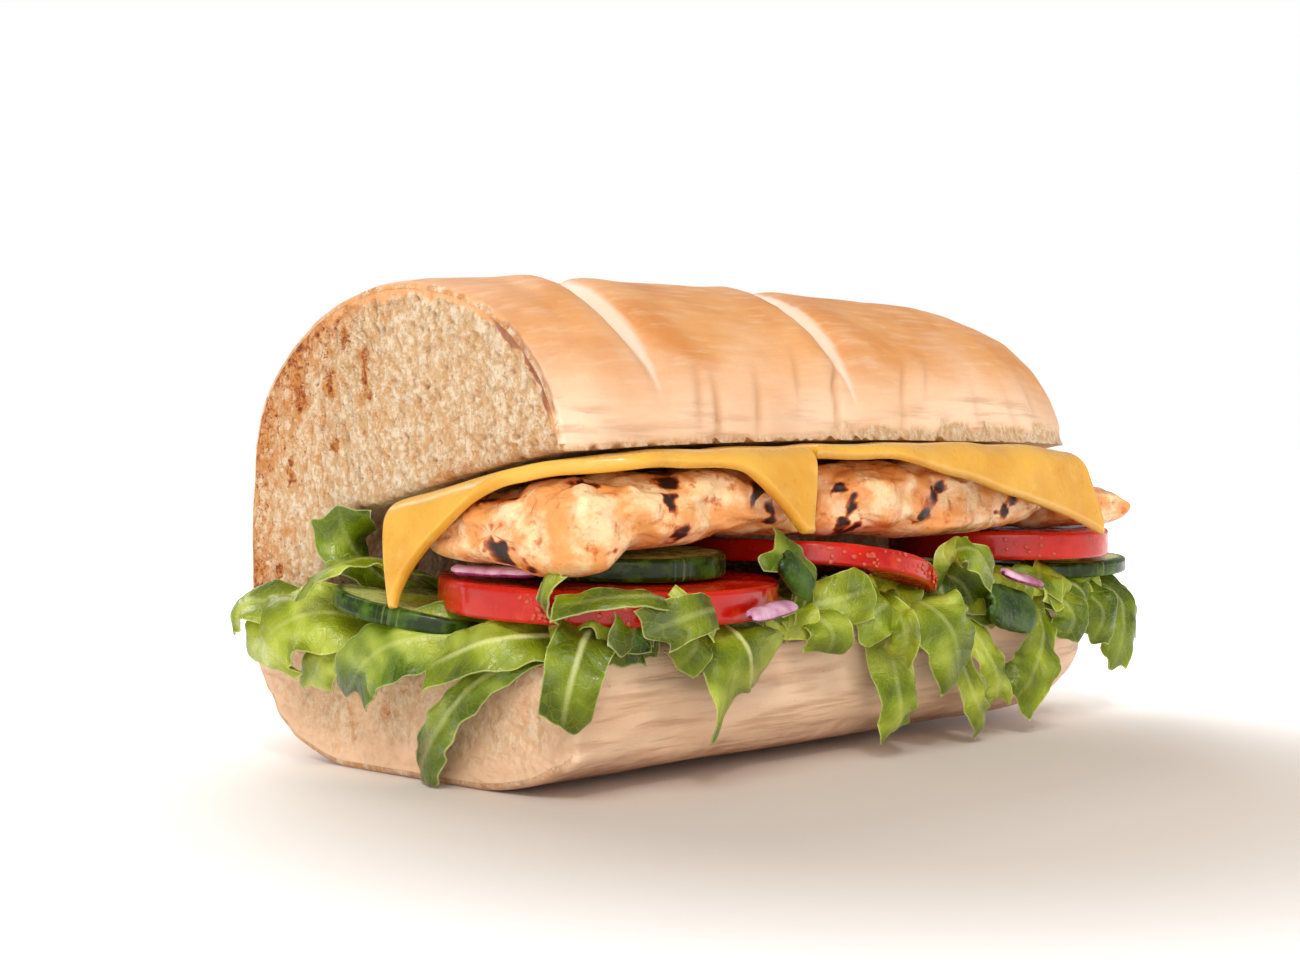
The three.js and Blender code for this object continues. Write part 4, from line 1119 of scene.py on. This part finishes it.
tomato_material = tomato_finish()
cucumber_material = cucumber_finish()
TOMATOES = {
    "tomato_1": dict(radius=26, thickness=5, at=(-53, -22, 28.3), tilt_x=1.8, seed=3),
    "tomato_2": dict(radius=22, thickness=3.6, at=(-9.7, -25.5, 31.6), tilt_y=12.2, bow=2, seed=7),
    "tomato_3": dict(radius=20, thickness=5, at=(48, -25, 32.6), seed=11),
}
CUCUMBERS = {
    "cucumber_1": dict(radius=15.5, thickness=3, at=(-68.9, 0, 25), tilt_x=9, tilt_y=6, seed=4),
    "cucumber_2": dict(radius=18, thickness=3.5, at=(-51, -20.5, 32.95), tilt_x=1.8, seed=8),
    "cucumber_3": dict(radius=18, thickness=2.8, at=(58.8, -25, 27.8), tilt_y=-1.5, seed=12),
}
# Each slice's drops: the arc that they lie on, in degrees, and how many
DROPS = {"tomato_1": ((195, 262), 110), "tomato_2": ((225, 330), 60), "tomato_3": ((215, 320), 30)}
GROUPS = ((TOMATOES, tomato_material, "tomato"), (CUCUMBERS, cucumber_material, "cucumber"))
for slices, material, slot in GROUPS:
    for node, slice_values in slices.items():
        body, values, placed = round_slice(**slice_values)
        bodies = [body]
        if node in DROPS:
            arc, count = DROPS[node]
            size = (slice_values["radius"], slice_values["thickness"])
            bodies += wet_drops(*size, placed, arc, count, slice_values["seed"])
        extra = sum(len(points) for points, _ in bodies[1:])
        values = {key: np.append(number, np.ones(extra)) for key, number in values.items()}
        values["drop"] = np.append(np.zeros(len(body[0])), np.ones(extra))
        make_piece(node + "_slice", bodies, material, [node], values, sharp=60)


# Onion and green pepper
# Slivers of raw red onion and diced green pepper: short bent bars with soft corners. An onion
# layer is purple on its outer skin, and pepper is dark waxy skin over paler flesh.
def unit(vector):
    return np.array(vector, float) / np.linalg.norm(vector)


def sliver(start, end, width, thickness, lift=(0, -0.4, 1), columns=36, rows=18):
    """A bar from start to end: its width swells in the middle, its section is arched, and its
    edges are rounded."""
    start, end = np.array(start, float), np.array(end, float)
    along = unit(end - start)
    side = unit(np.cross(along, unit(lift)))
    face = unit(np.cross(side, along))
    u, v = np.meshgrid(np.linspace(0, 1, columns), np.linspace(0, 1, rows), indexing="ij")
    taper = np.maximum(1 - (2 * u - 1) ** 4, 0.02) ** (1 / 3)
    across = (v - 0.5) * width * taper
    arch = 0.12 * width * np.cos(np.pi * (v - 0.5))
    middle = start + (end - start) * u[..., None] + side * across[..., None] + face * arch[..., None]
    middle = middle + 0.12 * clouds(middle, 3, 71, 2)[..., None]
    length = np.linalg.norm(end - start)
    rim = np.minimum.reduce([u * length, (1 - u) * length, v * width, (1 - v) * width])
    rounded = np.sqrt(np.clip(1 - (1 - np.clip(rim / 0.6, 0, 1)) ** 2, 0.1, 1))
    outer = np.concatenate([np.ones(u.size), np.zeros(u.size)])
    return sheet_shell(middle, thickness / 2 * rounded), {"outer": outer}


ONION_PURPLE = colour(146, 28, 92)
ONION_PALE = colour(232, 192, 212)
PEPPER_SKIN = colour(8, 32, 0)
PEPPER_LIGHT = colour(74, 104, 14)


def layered_finish(name, skin_colour, flesh_colour, cover, speckle):
    """Skin colour on the outer face and flesh colour behind it, each breaking through the other
    in soft clouds, with fine pale speckles."""
    layer = Finish(name, 0.3, subsurface=0.15, coat=0.06, specular=0.25)
    skin = layer.math("ADD", layer.value("outer"), layer.noise(5, 4.0))
    base = layer.over(flesh_colour, skin_colour, skin, *cover)
    base = layer.over(base, flesh_colour, layer.noise(0.6, 3.0), 0.5, 0.62, 0.0, speckle)
    return layer.finish(base, None, layer.bump(layer.noise(0.8, 3.0), 0.12, 0.5))


onion_material = layered_finish("onion", ONION_PURPLE, ONION_PALE, (0.35, 0.75), 0.15)
pepper_material = layered_finish("pepper", PEPPER_SKIN, PEPPER_LIGHT, (0.2, 0.7), 0.6)
SLIVERS = {
    "onion_1": ((-76, -13, 32.2), (-73.5, -28, 32.2), 4, 1.2),
    "onion_2": ((-53, -50.6, 26), (-41.5, -49, 27), 3, 1.3),
    "onion_3": ((20, -45, 28.6), (31, -45, 26.2), 3, 1.3),
    "pepper_1": ((-42, -47.2, 34), (-36, -47.4, 28.6), 4.4, 1.8, (-0.2, -1, 0.2)),
    "pepper_2": ((15, -45, 24), (28, -45, 21), 7.5, 2, (-0.2, -1, 0.3)),
}
for node, sliver_values in SLIVERS.items():
    slot = node.split("_")[0]
    material = onion_material if slot == "onion" else pepper_material
    body, values = sliver(*sliver_values)
    make_piece(node + "_sliver", [body], material, [node], values)


# Lettuce
# Torn and shredded leaves: a bed along the floor of the slit, with longer leaves that hang out
# at the cut end and over the front lip. Each leaf is a thin crinkled sheet along a curve through
# its root, middle and tip, with a pale rib, veins and a thin pale edge.
LEAF = 0.42
VEIN_STEP = 3.1


def leaf(root, middle, tip, widths, facing, ruffle=0.6, seed=1.0, crinkle=0.5, tint=0.5, rib=0.3,
         jag=0.045, columns=60, rows=34):
    """A quadratic curve through three points carries half widths, also through three values.
    Waves grow towards the edges, which are frilled and torn. Side veins slant out from the rib,
    the leaf puffs up between them, and a finer crinkle covers it all. No leaf sinks into the
    table."""
    root, middle, tip = (np.array(point, float) for point in (root, middle, tip))
    control = 2 * middle - 0.5 * root - 0.5 * tip
    u, v = np.meshgrid(np.linspace(0, 1, columns), np.linspace(-1, 1, rows), indexing="ij")
    v = v * (1.25 - 0.25 * v * v)
    length = np.linalg.norm(tip - middle) + np.linalg.norm(middle - root)
    end_place = np.stack([v * 1.5 + seed, 0 * u + 5.0, 0 * u], -1)
    part = (u * (1 + 0.07 * clouds(end_place, 1, seed) * u ** 2))[..., None]
    centre = root * (1 - part) ** 2 + 2 * control * part * (1 - part) + tip * part ** 2
    along = 2 * (control - root) * (1 - part) + 2 * (tip - control) * part
    along = along / np.linalg.norm(along, axis=-1, keepdims=True)
    side = np.cross(along, unit(facing))
    side = side / np.linalg.norm(side, axis=-1, keepdims=True)
    face = np.cross(side, along)
    w0, w1, w2 = widths
    w2 = w2 + 0.6 * w1
    half = w0 * (1 - u) * (1 - 2 * u) + 4 * w1 * u * (1 - u) + w2 * u * (2 * u - 1)
    edge_place = np.stack([u * length / 5.0 + seed, np.sign(v) * 3 + seed, 0 * u], -1)
    half = half * (1 + jag * clouds(edge_place, 1, seed, 2) * np.abs(v))
    ripple = wavy(u * 9, v * 2.2, seed) * (0.35 + np.abs(v))
    wave = np.minimum(u * 2.5, 1) * ruffle * (ripple - 0.8 * v * v)
    frill = np.sin(u * length * 0.95 + seed + 1.6 * np.sin(u * 6 + seed) + np.sign(v))
    wave = wave + 0.6 * ruffle * frill * np.abs(v) ** 2.5 * np.minimum(u * 3, 1)
    sheet = np.stack([u * length, v * half, 0 * u + seed * 3], -1)
    bent = u * length - 0.9 * np.abs(v * half) + 1.2 * clouds(sheet, 5, seed + 4)
    vein = 1 - np.abs(np.sin(np.pi * bent / VEIN_STEP)) ** 0.5
    puff = (1 - vein) * (0.25 + 0.75 * smooth(np.abs(v * half), 0.4, 2.0))
    fine = 0.4 * puff + 0.5 * clouds(sheet, 3.0, seed + 1, 2) + 0.5 * np.abs(clouds(sheet, 5.0, seed + 2))
    wave = wave + crinkle * fine * np.minimum(u * 3, 1) * (0.5 + 0.7 * np.abs(v))
    grid = centre + side * (half * v)[..., None] + face * wave[..., None]
    grid[..., 2] = np.maximum(grid[..., 2], LEAF)
    rim = np.minimum((1 - np.abs(v)) * half, (1 - u) * length)
    values = {
        "along": u * length, "across": v * half, "rim": rim, "tint": 0 * u + tint, "vein": vein,
        "rib": rib * (1 - u) ** 0.6 + 0 * v, "leaf": 0 * u + seed,
    }
    thick = LEAF / 2 * (0.5 + 0.5 * np.clip(rim / 0.8, 0, 1)) + 0.5 * rib * np.exp(-(v * half / 0.9) ** 2)
    return sheet_shell(grid, thick), {key: np.tile(np.ravel(number), 2) for key, number in values.items()}


# root, middle, tip, half widths, facing, then waves and looks where they differ
END_LEAVES = (
    ((-52, 9, 25.5), (-70, 12, 30), (-77.5, 12, 41), (3, 4.4, 2.5), (-0.7, -0.3, 1), dict(tint=0.75)),
    ((-54, 11, 25.5), (-76, 6, 33), (-84, 12.5, 28.3), (2.5, 2.4, 1), (-0.5, -0.2, 1), dict(tint=0.45)),
    ((-68, 3, 21.6), (-81, 21, 26), (-83.5, 31, 24), (4, 4.4, 1.5), (-0.8, -0.3, 0.8),
     dict(ruffle=1, tint=0.5)),
    ((-69, 2, 21.4), (-83, 13, 24.5), (-85.5, 20.5, 17.5), (5, 6.8, 3.4), (-0.9, -0.3, 0.7),
     dict(ruffle=1.1, tint=0.35)),
    ((-70, 2, 21.4), (-80, 8.5, 20.4), (-81, 14, 13.2), (3, 3.2, 1.6), (-1, -0.3, 0.4), dict(tint=0.55)),
    ((-66, -20, 21.8), (-82, -8, 21.6), (-83, 2.5, 13.4), (5, 5.6, 0.9), (-0.9, -0.5, 0.6),
     dict(tint=0.9)),
    ((-66, -30, 22.6), (-79, -26, 22.8), (-82, -15, 18.6), (5, 4.4, 1.6), (-0.7, -0.6, 0.8),
     dict(tint=0.6, rib=0.9)),
    ((-70, -33, 22.6), (-80.5, -22, 16), (-78, -8.5, 2.8), (2, 2.6, 2.6), (-1, -0.35, 0.5),
     dict(tint=0.8, rib=0.5, jag=0.05)),
)
LIP_LEAVES = (
    ((-72, -34, 24.4), (-78.6, -34.6, 29), (-77.4, -36.8, 33.4), (2.4, 1.4, 0.8), (-1, 0.2, 0.2),
     dict(ruffle=0.3, tint=0.35)),
    ((-68, -34, 24.4), (-77.4, -40.4, 22), (-78.4, -38.2, 12.2), (4, 4.4, 1), (-0.7, -0.8, 0.4),
     dict(tint=0.55, rib=0.8)),
    ((-58, -42, 24.5), (-69.5, -47.8, 29.4), (-78.4, -39, 28.6), (1.8, 1.8, 1.4), (-0.4, -0.7, 1),
     dict(ruffle=0.3, tint=0.5)),
    ((-52, -40, 24.5), (-62, -50.6, 27.6), (-70, -47.6, 25.2), (2, 2.8, 2), (-0.3, -1, 0.3),
     dict(ruffle=0.3, tint=0.4)),
    ((-67.5, -48.6, 30.8), (-64.5, -50.6, 27.7), (-60.5, -50.6, 24.3), (1, 1.1, 0.8), (-0.4, -1, 0.5),
     dict(ruffle=0.2, tint=0.1)),
    ((-48, -36, 24.4), (-51, -47, 22.2), (-47, -44.8, 14.4), (7, 7.8, 5.4), (-0.2, -1, 0.35),
     dict(ruffle=0.8, tint=0.6, rib=1.0)),
    ((-57, -36, 24.4), (-60, -46, 23.4), (-61.5, -44.6, 19.6), (3, 3, 1), (-0.3, -1, 0.3),
     dict(tint=0.7)),
    ((-30, -41, 25), (-34.5, -45, 31.4), (-40.5, -43.2, 35.4), (2.4, 2.8, 2.2), (-0.4, -1, 0.5),
     dict(tint=0.9)),
    ((-30, -37, 24.9), (-26, -43.5, 26.4), (-19.8, -46.6, 28), (3.6, 4, 2), (-0.4, -1, 0.4),
     dict(ruffle=0.9, tint=0.45)),
    ((-29, -37, 24.6), (-29, -45.4, 23.4), (-28, -44.6, 18.8), (3.4, 3.8, 2.2), (-0.3, -1, 0.4),
     dict(tint=0.6)),
    ((-8, -37, 25), (-15, -46.4, 26), (-21, -45, 22.6), (4.6, 4.6, 1.4), (-0.3, -1, 0.4),
     dict(ruffle=1, tint=0.55)),
    ((0, -37, 25), (-2, -48, 22.4), (3.5, -47, 12), (5, 5.8, 1.6), (-0.35, -1, 0.4),
     dict(ruffle=0.8, tint=0.65)),
    ((-8, -37.5, 25.2), (-14, -49, 23), (-13.5, -47.4, 17), (2.2, 2.2, 1.4), (-0.9, -0.8, 0.2),
     dict(ruffle=1.2, tint=0.4)),
    ((-7, -37, 24.4), (-10.4, -45, 12.4), (-9, -43.6, 4.6), (3.4, 4, 0.7), (-0.3, -1, 0.15),
     dict(tint=0.6)),
    ((12, -37, 24.8), (7, -45, 33.2), (14.5, -46.6, 28.8), (2.4, 2.8, 2), (-0.5, -1, 0.8),
     dict(ruffle=0.9, tint=0.75)),
    ((14, -37, 24.4), (17.6, -44, 14), (20.4, -43, 6.6), (2.6, 2.8, 1.8), (-0.3, -1, 0.2),
     dict(tint=0.4)),
    ((10, -37, 24.4), (9.6, -44.8, 11.5), (17, -43, 3.2), (2.2, 2.8, 1), (-0.3, -1, 0.2), dict(tint=0.3)),
    ((44, -34, 24.8), (34, -43.6, 15.6), (27, -43, 7), (4, 4.2, 2.6), (-0.3, -1, 0.25),
     dict(ruffle=0.8, tint=0.5, crinkle=1.0)),
    ((42, -34, 24.8), (44, -43, 21.4), (42.6, -42.6, 16), (3.8, 3.6, 0.9), (-0.3, -1, 0.5),
     dict(tint=0.7)),
    ((53, -30, 24.8), (54.5, -42, 22), (54, -42, 15.4), (4.4, 4.2, 0.9), (-0.3, -1, 0.5), dict(tint=0.7)),
    ((60, -27, 24.8), (66, -39, 22.4), (65, -40, 10.4), (3.6, 4.2, 1), (-0.2, -1, 0.5), dict(tint=0.65)),
    ((64, -22, 24.8), (76.5, -33, 23), (78, -36, 12.8), (3, 3, 0.9), (0.2, -1, 0.6), dict(tint=0.55)),
)


BED_SHREDS = 130
LIP_SHREDS = 64
BED_RANGE = (CUT_X + 3, 66)


def bed_shreds():
    """Short crinkled shreds strewn over the floor of the slit, seeded, lying nearly flat, and as
    many again along its front lip, which they cover."""
    chance = np.random.default_rng(12)
    shreds = []
    for number in range(BED_SHREDS):
        x = chance.uniform(*BED_RANGE)
        front = float(front_lip_y(x))
        back = min(float(hinge_wall_y(x)) - 4, 14)
        y = front + 1.0 + (back - front) * chance.uniform(0.0, 0.9) ** 2.4
        ground = float(floor_z(x, y)) + GAP + 0.8
        turn = chance.uniform(0, 2 * np.pi)
        reach = chance.uniform(3.5, 7.5) * np.array([np.cos(turn), 0.6 * np.sin(turn)])
        low = max(y - abs(reach[1]), front - 1.0) - y
        middle = (x, y, ground + chance.uniform(0.8, 2.6))
        root = (x - reach[0], y + max(-reach[1], low), ground + chance.uniform(0, 1.2))
        tip = (x + reach[0], y + max(reach[1], low), ground + chance.uniform(0, 2.2))
        widths = chance.uniform(1.6, 3.6) * np.array([0.9, 1, 0.6])
        facing = (chance.uniform(-0.6, 0.2), chance.uniform(-1.2, 0.0), 1)
        shreds.append(leaf(root, middle, tip, widths, facing, 0.6, number * 0.37, 0.6,
                           chance.uniform(0.1, 0.9), chance.uniform(0, 0.6), columns=18, rows=10))
    for number in range(LIP_SHREDS):
        x = np.interp((number + chance.uniform(0, 1)) / LIP_SHREDS, (0, 1), BED_RANGE)
        front = float(front_lip_y(x))
        aside = chance.uniform(-6, 6)
        out, drop = chance.uniform(2.5, 6.0), chance.uniform(-1, 5.5)
        root = (x - aside, front + 5, 24.6)
        middle = (x, front - 0.6 * out, 25.5 + chance.uniform(0, 2.5))
        tip = (x + 0.7 * aside, front - out, 24.5 - drop)
        widths = chance.uniform(2.4, 4.4) * np.array([0.9, 1, chance.uniform(0.5, 0.9)])
        facing = (chance.uniform(-0.7, 0.3), -1, chance.uniform(0.4, 1.2))
        shreds.append(leaf(root, middle, tip, widths, facing, 0.8, number * 0.71, 0.6,
                           chance.uniform(0.1, 1.0), chance.uniform(0, 0.7), columns=26, rows=16))
    return shreds


LETTUCE_YELLOW = colour(166, 174, 32)
LETTUCE_GREEN = colour(82, 110, 2)
LETTUCE_BRIGHT = colour(206, 214, 92)
LETTUCE_DEEP = colour(28, 50, 0)
LETTUCE_RIB = colour(234, 234, 158)


def lettuce_finish():
    """Green from the tint value, mottled, with pale side veins, a finer net of veins between
    them, and a pale rib and rim. Light comes through it a little."""
    lettuce = Finish("lettuce", 0.34, subsurface=0.15, depth=0.001, tint=(0.6, 1.0, 0.1), coat=0.12,
                     specular=0.3)
    across = lettuce.value("across")
    place = {"X": lettuce.value("along"), "Y": across, "Z": lettuce.value("leaf")}
    flat = lettuce.add("CombineXYZ", place).outputs["Vector"]
    net = lettuce.add("TexVoronoi", {"Vector": flat, "Scale": 0.75}, feature="DISTANCE_TO_EDGE")
    fine_vein = lettuce.ramp(net.outputs["Distance"], 0.0, 0.08, 0.45, 0.0)
    middle = lettuce.ramp(lettuce.math("ABSOLUTE", across), 0.1, 0.7, 1.0, 0.0)
    rib = lettuce.math("MULTIPLY", middle, lettuce.value("rib"))
    side_vein = lettuce.ramp(lettuce.value("vein"), 0.45, 0.95, 0.0, 0.8)
    vein = lettuce.math("MAXIMUM", side_vein, fine_vein)
    mottle = lettuce.add("TexNoise", {"Vector": flat, "Scale": 0.1, "Detail": 2.0}).outputs["Fac"]
    green = lettuce.mix(lettuce.value("tint"), LETTUCE_YELLOW, LETTUCE_GREEN)
    green = lettuce.over(green, LETTUCE_DEEP, mottle, 0.42, 0.7, 0.0, 0.8)
    green = lettuce.over(green, LETTUCE_BRIGHT, mottle, 0.5, 0.3, 0.0, 0.6)
    base = lettuce.mix(lettuce.math("MULTIPLY", vein, 0.4), green, LETTUCE_YELLOW)
    base = lettuce.mix(rib, base, LETTUCE_RIB)
    rim = lettuce.ramp(lettuce.value("rim"), 0.02, 0.22, 0.4, 0.0)
    base = lettuce.mix(rim, base, LETTUCE_RIB)
    fine = lettuce.add("TexNoise", {"Vector": flat, "Scale": 1.3, "Detail": 4.0}).outputs["Fac"]
    height = lettuce.math("SUBTRACT", fine, lettuce.math("MULTIPLY", vein, 0.5))
    rough = lettuce.ramp(mottle, 0.3, 0.7, 0.22, 0.36)
    return lettuce.finish(base, rough, lettuce.bump(height, 0.4, 0.55))


lettuce_material = lettuce_finish()


def make_leaves(name, leaves):
    """Joins leaves, each a body and its values, into one piece."""
    bodies = [body for body, _ in leaves]
    values = {key: np.concatenate([numbers[key] for _, numbers in leaves]) for key in leaves[0][1]}
    make_piece(name, bodies, lettuce_material, ["lettuce"], values, sharp=75)


LEAF_GROUPS = {"lettuce_end_leaves": END_LEAVES, "lettuce_lip_leaves": LIP_LEAVES}
for name, group in LEAF_GROUPS.items():
    leaves = []
    for number, (root, middle, tip, widths, facing, looks) in enumerate(group):
        seed = number * 1.7 + len(group)
        leaves.append(leaf(root, middle, tip, widths, facing, seed=seed, **looks))
    make_leaves(name, leaves)
make_leaves("lettuce_bed", bed_shreds())


# Floor and light
# A wide pale floor with a painted shadow round the food, which turns white away from it and
# glows there, like a studio's curved white backdrop. A broad low light from the camera's left
# fills the slit. A key light and a small glint stand high over it, and the last light stands
# behind the food.
# Painted shadow colour round the food, fading to white away from it
FLOOR_SHADOW_COLOUR = colour(226, 214, 202)
FLOOR_REACH = 6.0
SHADE_CENTRE = (-0.03, -0.05, 0.0)
FLOOR_WHITE_FROM = 0.05
FLOOR_WHITE_TO = 0.17
FLOOR_GLOW = 0.5
WHITE = (1.0, 1.0, 1.0, 1.0)
floor_mesh = bpy.data.meshes.new("floor")
floor_corners = np.array([(-1, -1, 0), (1, -1, 0), (1, 1, 0), (-1, 1, 0)]) * FLOOR_REACH
floor_mesh.from_pydata(floor_corners.tolist(), [], [[0, 1, 2, 3]])
floor = bpy.data.objects.new("floor", floor_mesh)
paint = Finish("floor", 0.7, specular=0.2)
away = paint.add("VectorMath", {0: paint.object, 1: SHADE_CENTRE}, operation="DISTANCE")
shadow_fade = paint.ramp(away.outputs["Value"], FLOOR_WHITE_FROM, FLOOR_WHITE_TO)
# Away from the food the floor glows, though it is no lamp
paint.shader.inputs["Emission Color"].default_value = WHITE
paint.feed(paint.shader.inputs["Emission Strength"], paint.math("MULTIPLY", shadow_fade, FLOOR_GLOW))
floor_mesh.materials.append(paint.finish(paint.mix(shadow_fade, FLOOR_SHADOW_COLOUR, WHITE)))
bpy.context.scene.collection.objects.link(floor)

# The backdrop is white low down, where the floor meets it, and the room round it is dimmer
ROOM_GLOW = 0.42
BACKDROP_GLOW = 1.0
OVERHEAD_GLOW = 0.4
BACKDROP_TOP = (0.23, 0.4)
world = bpy.data.worlds.new("studio")
world.use_nodes = True
nodes, links = world.node_tree.nodes, world.node_tree.links
direction = nodes.new("ShaderNodeTexCoord")
parts = nodes.new("ShaderNodeSeparateXYZ")
glow = nodes.new("ShaderNodeMapRange")
glow.interpolation_type = "SMOOTHSTEP"
glow.inputs["From Min"].default_value, glow.inputs["From Max"].default_value = BACKDROP_TOP
glow.inputs["To Min"].default_value = BACKDROP_GLOW
glow.inputs["To Max"].default_value = OVERHEAD_GLOW
links.new(direction.outputs["Generated"], parts.inputs[0])
links.new(parts.outputs["Z"], glow.inputs["Value"])
seen = nodes.new("ShaderNodeLightPath")
strength = nodes.new("ShaderNodeMix")
links.new(seen.outputs["Is Camera Ray"], strength.inputs[0])
strength.inputs[2].default_value = ROOM_GLOW
links.new(glow.outputs["Result"], strength.inputs[3])
links.new(strength.outputs[0], nodes["Background"].inputs["Strength"])
nodes["Background"].inputs["Color"].default_value = WHITE
bpy.context.scene.world = world
bpy.context.scene.view_settings.view_transform = "Standard"

# Each light: its name, where it stands from the food, its power and how wide it looks, in degrees
LIGHTS = (
    ("key", (-0.8, -0.6, 1.1), 0.95, 22),
    ("glint", (-0.7, -0.8, 0.9), 0.5, 3),
    ("fill", (-1.0, -1.0, 0.14), 1.8, 60),
    ("back", (0.3, 0.9, 0.8), 1.1, 40),
)
for name, toward, power, spread in LIGHTS:
    light = bpy.data.lights.new(name, "SUN")
    light.energy = power
    light.angle = np.radians(spread)
    lamp = bpy.data.objects.new(name, light)
    flat_reach = np.hypot(toward[0], toward[1])
    heading = np.arctan2(toward[1], toward[0]) + np.pi / 2
    lamp.rotation_euler = (np.arctan2(flat_reach, toward[2]), 0, heading)
    bpy.context.scene.collection.objects.link(lamp)
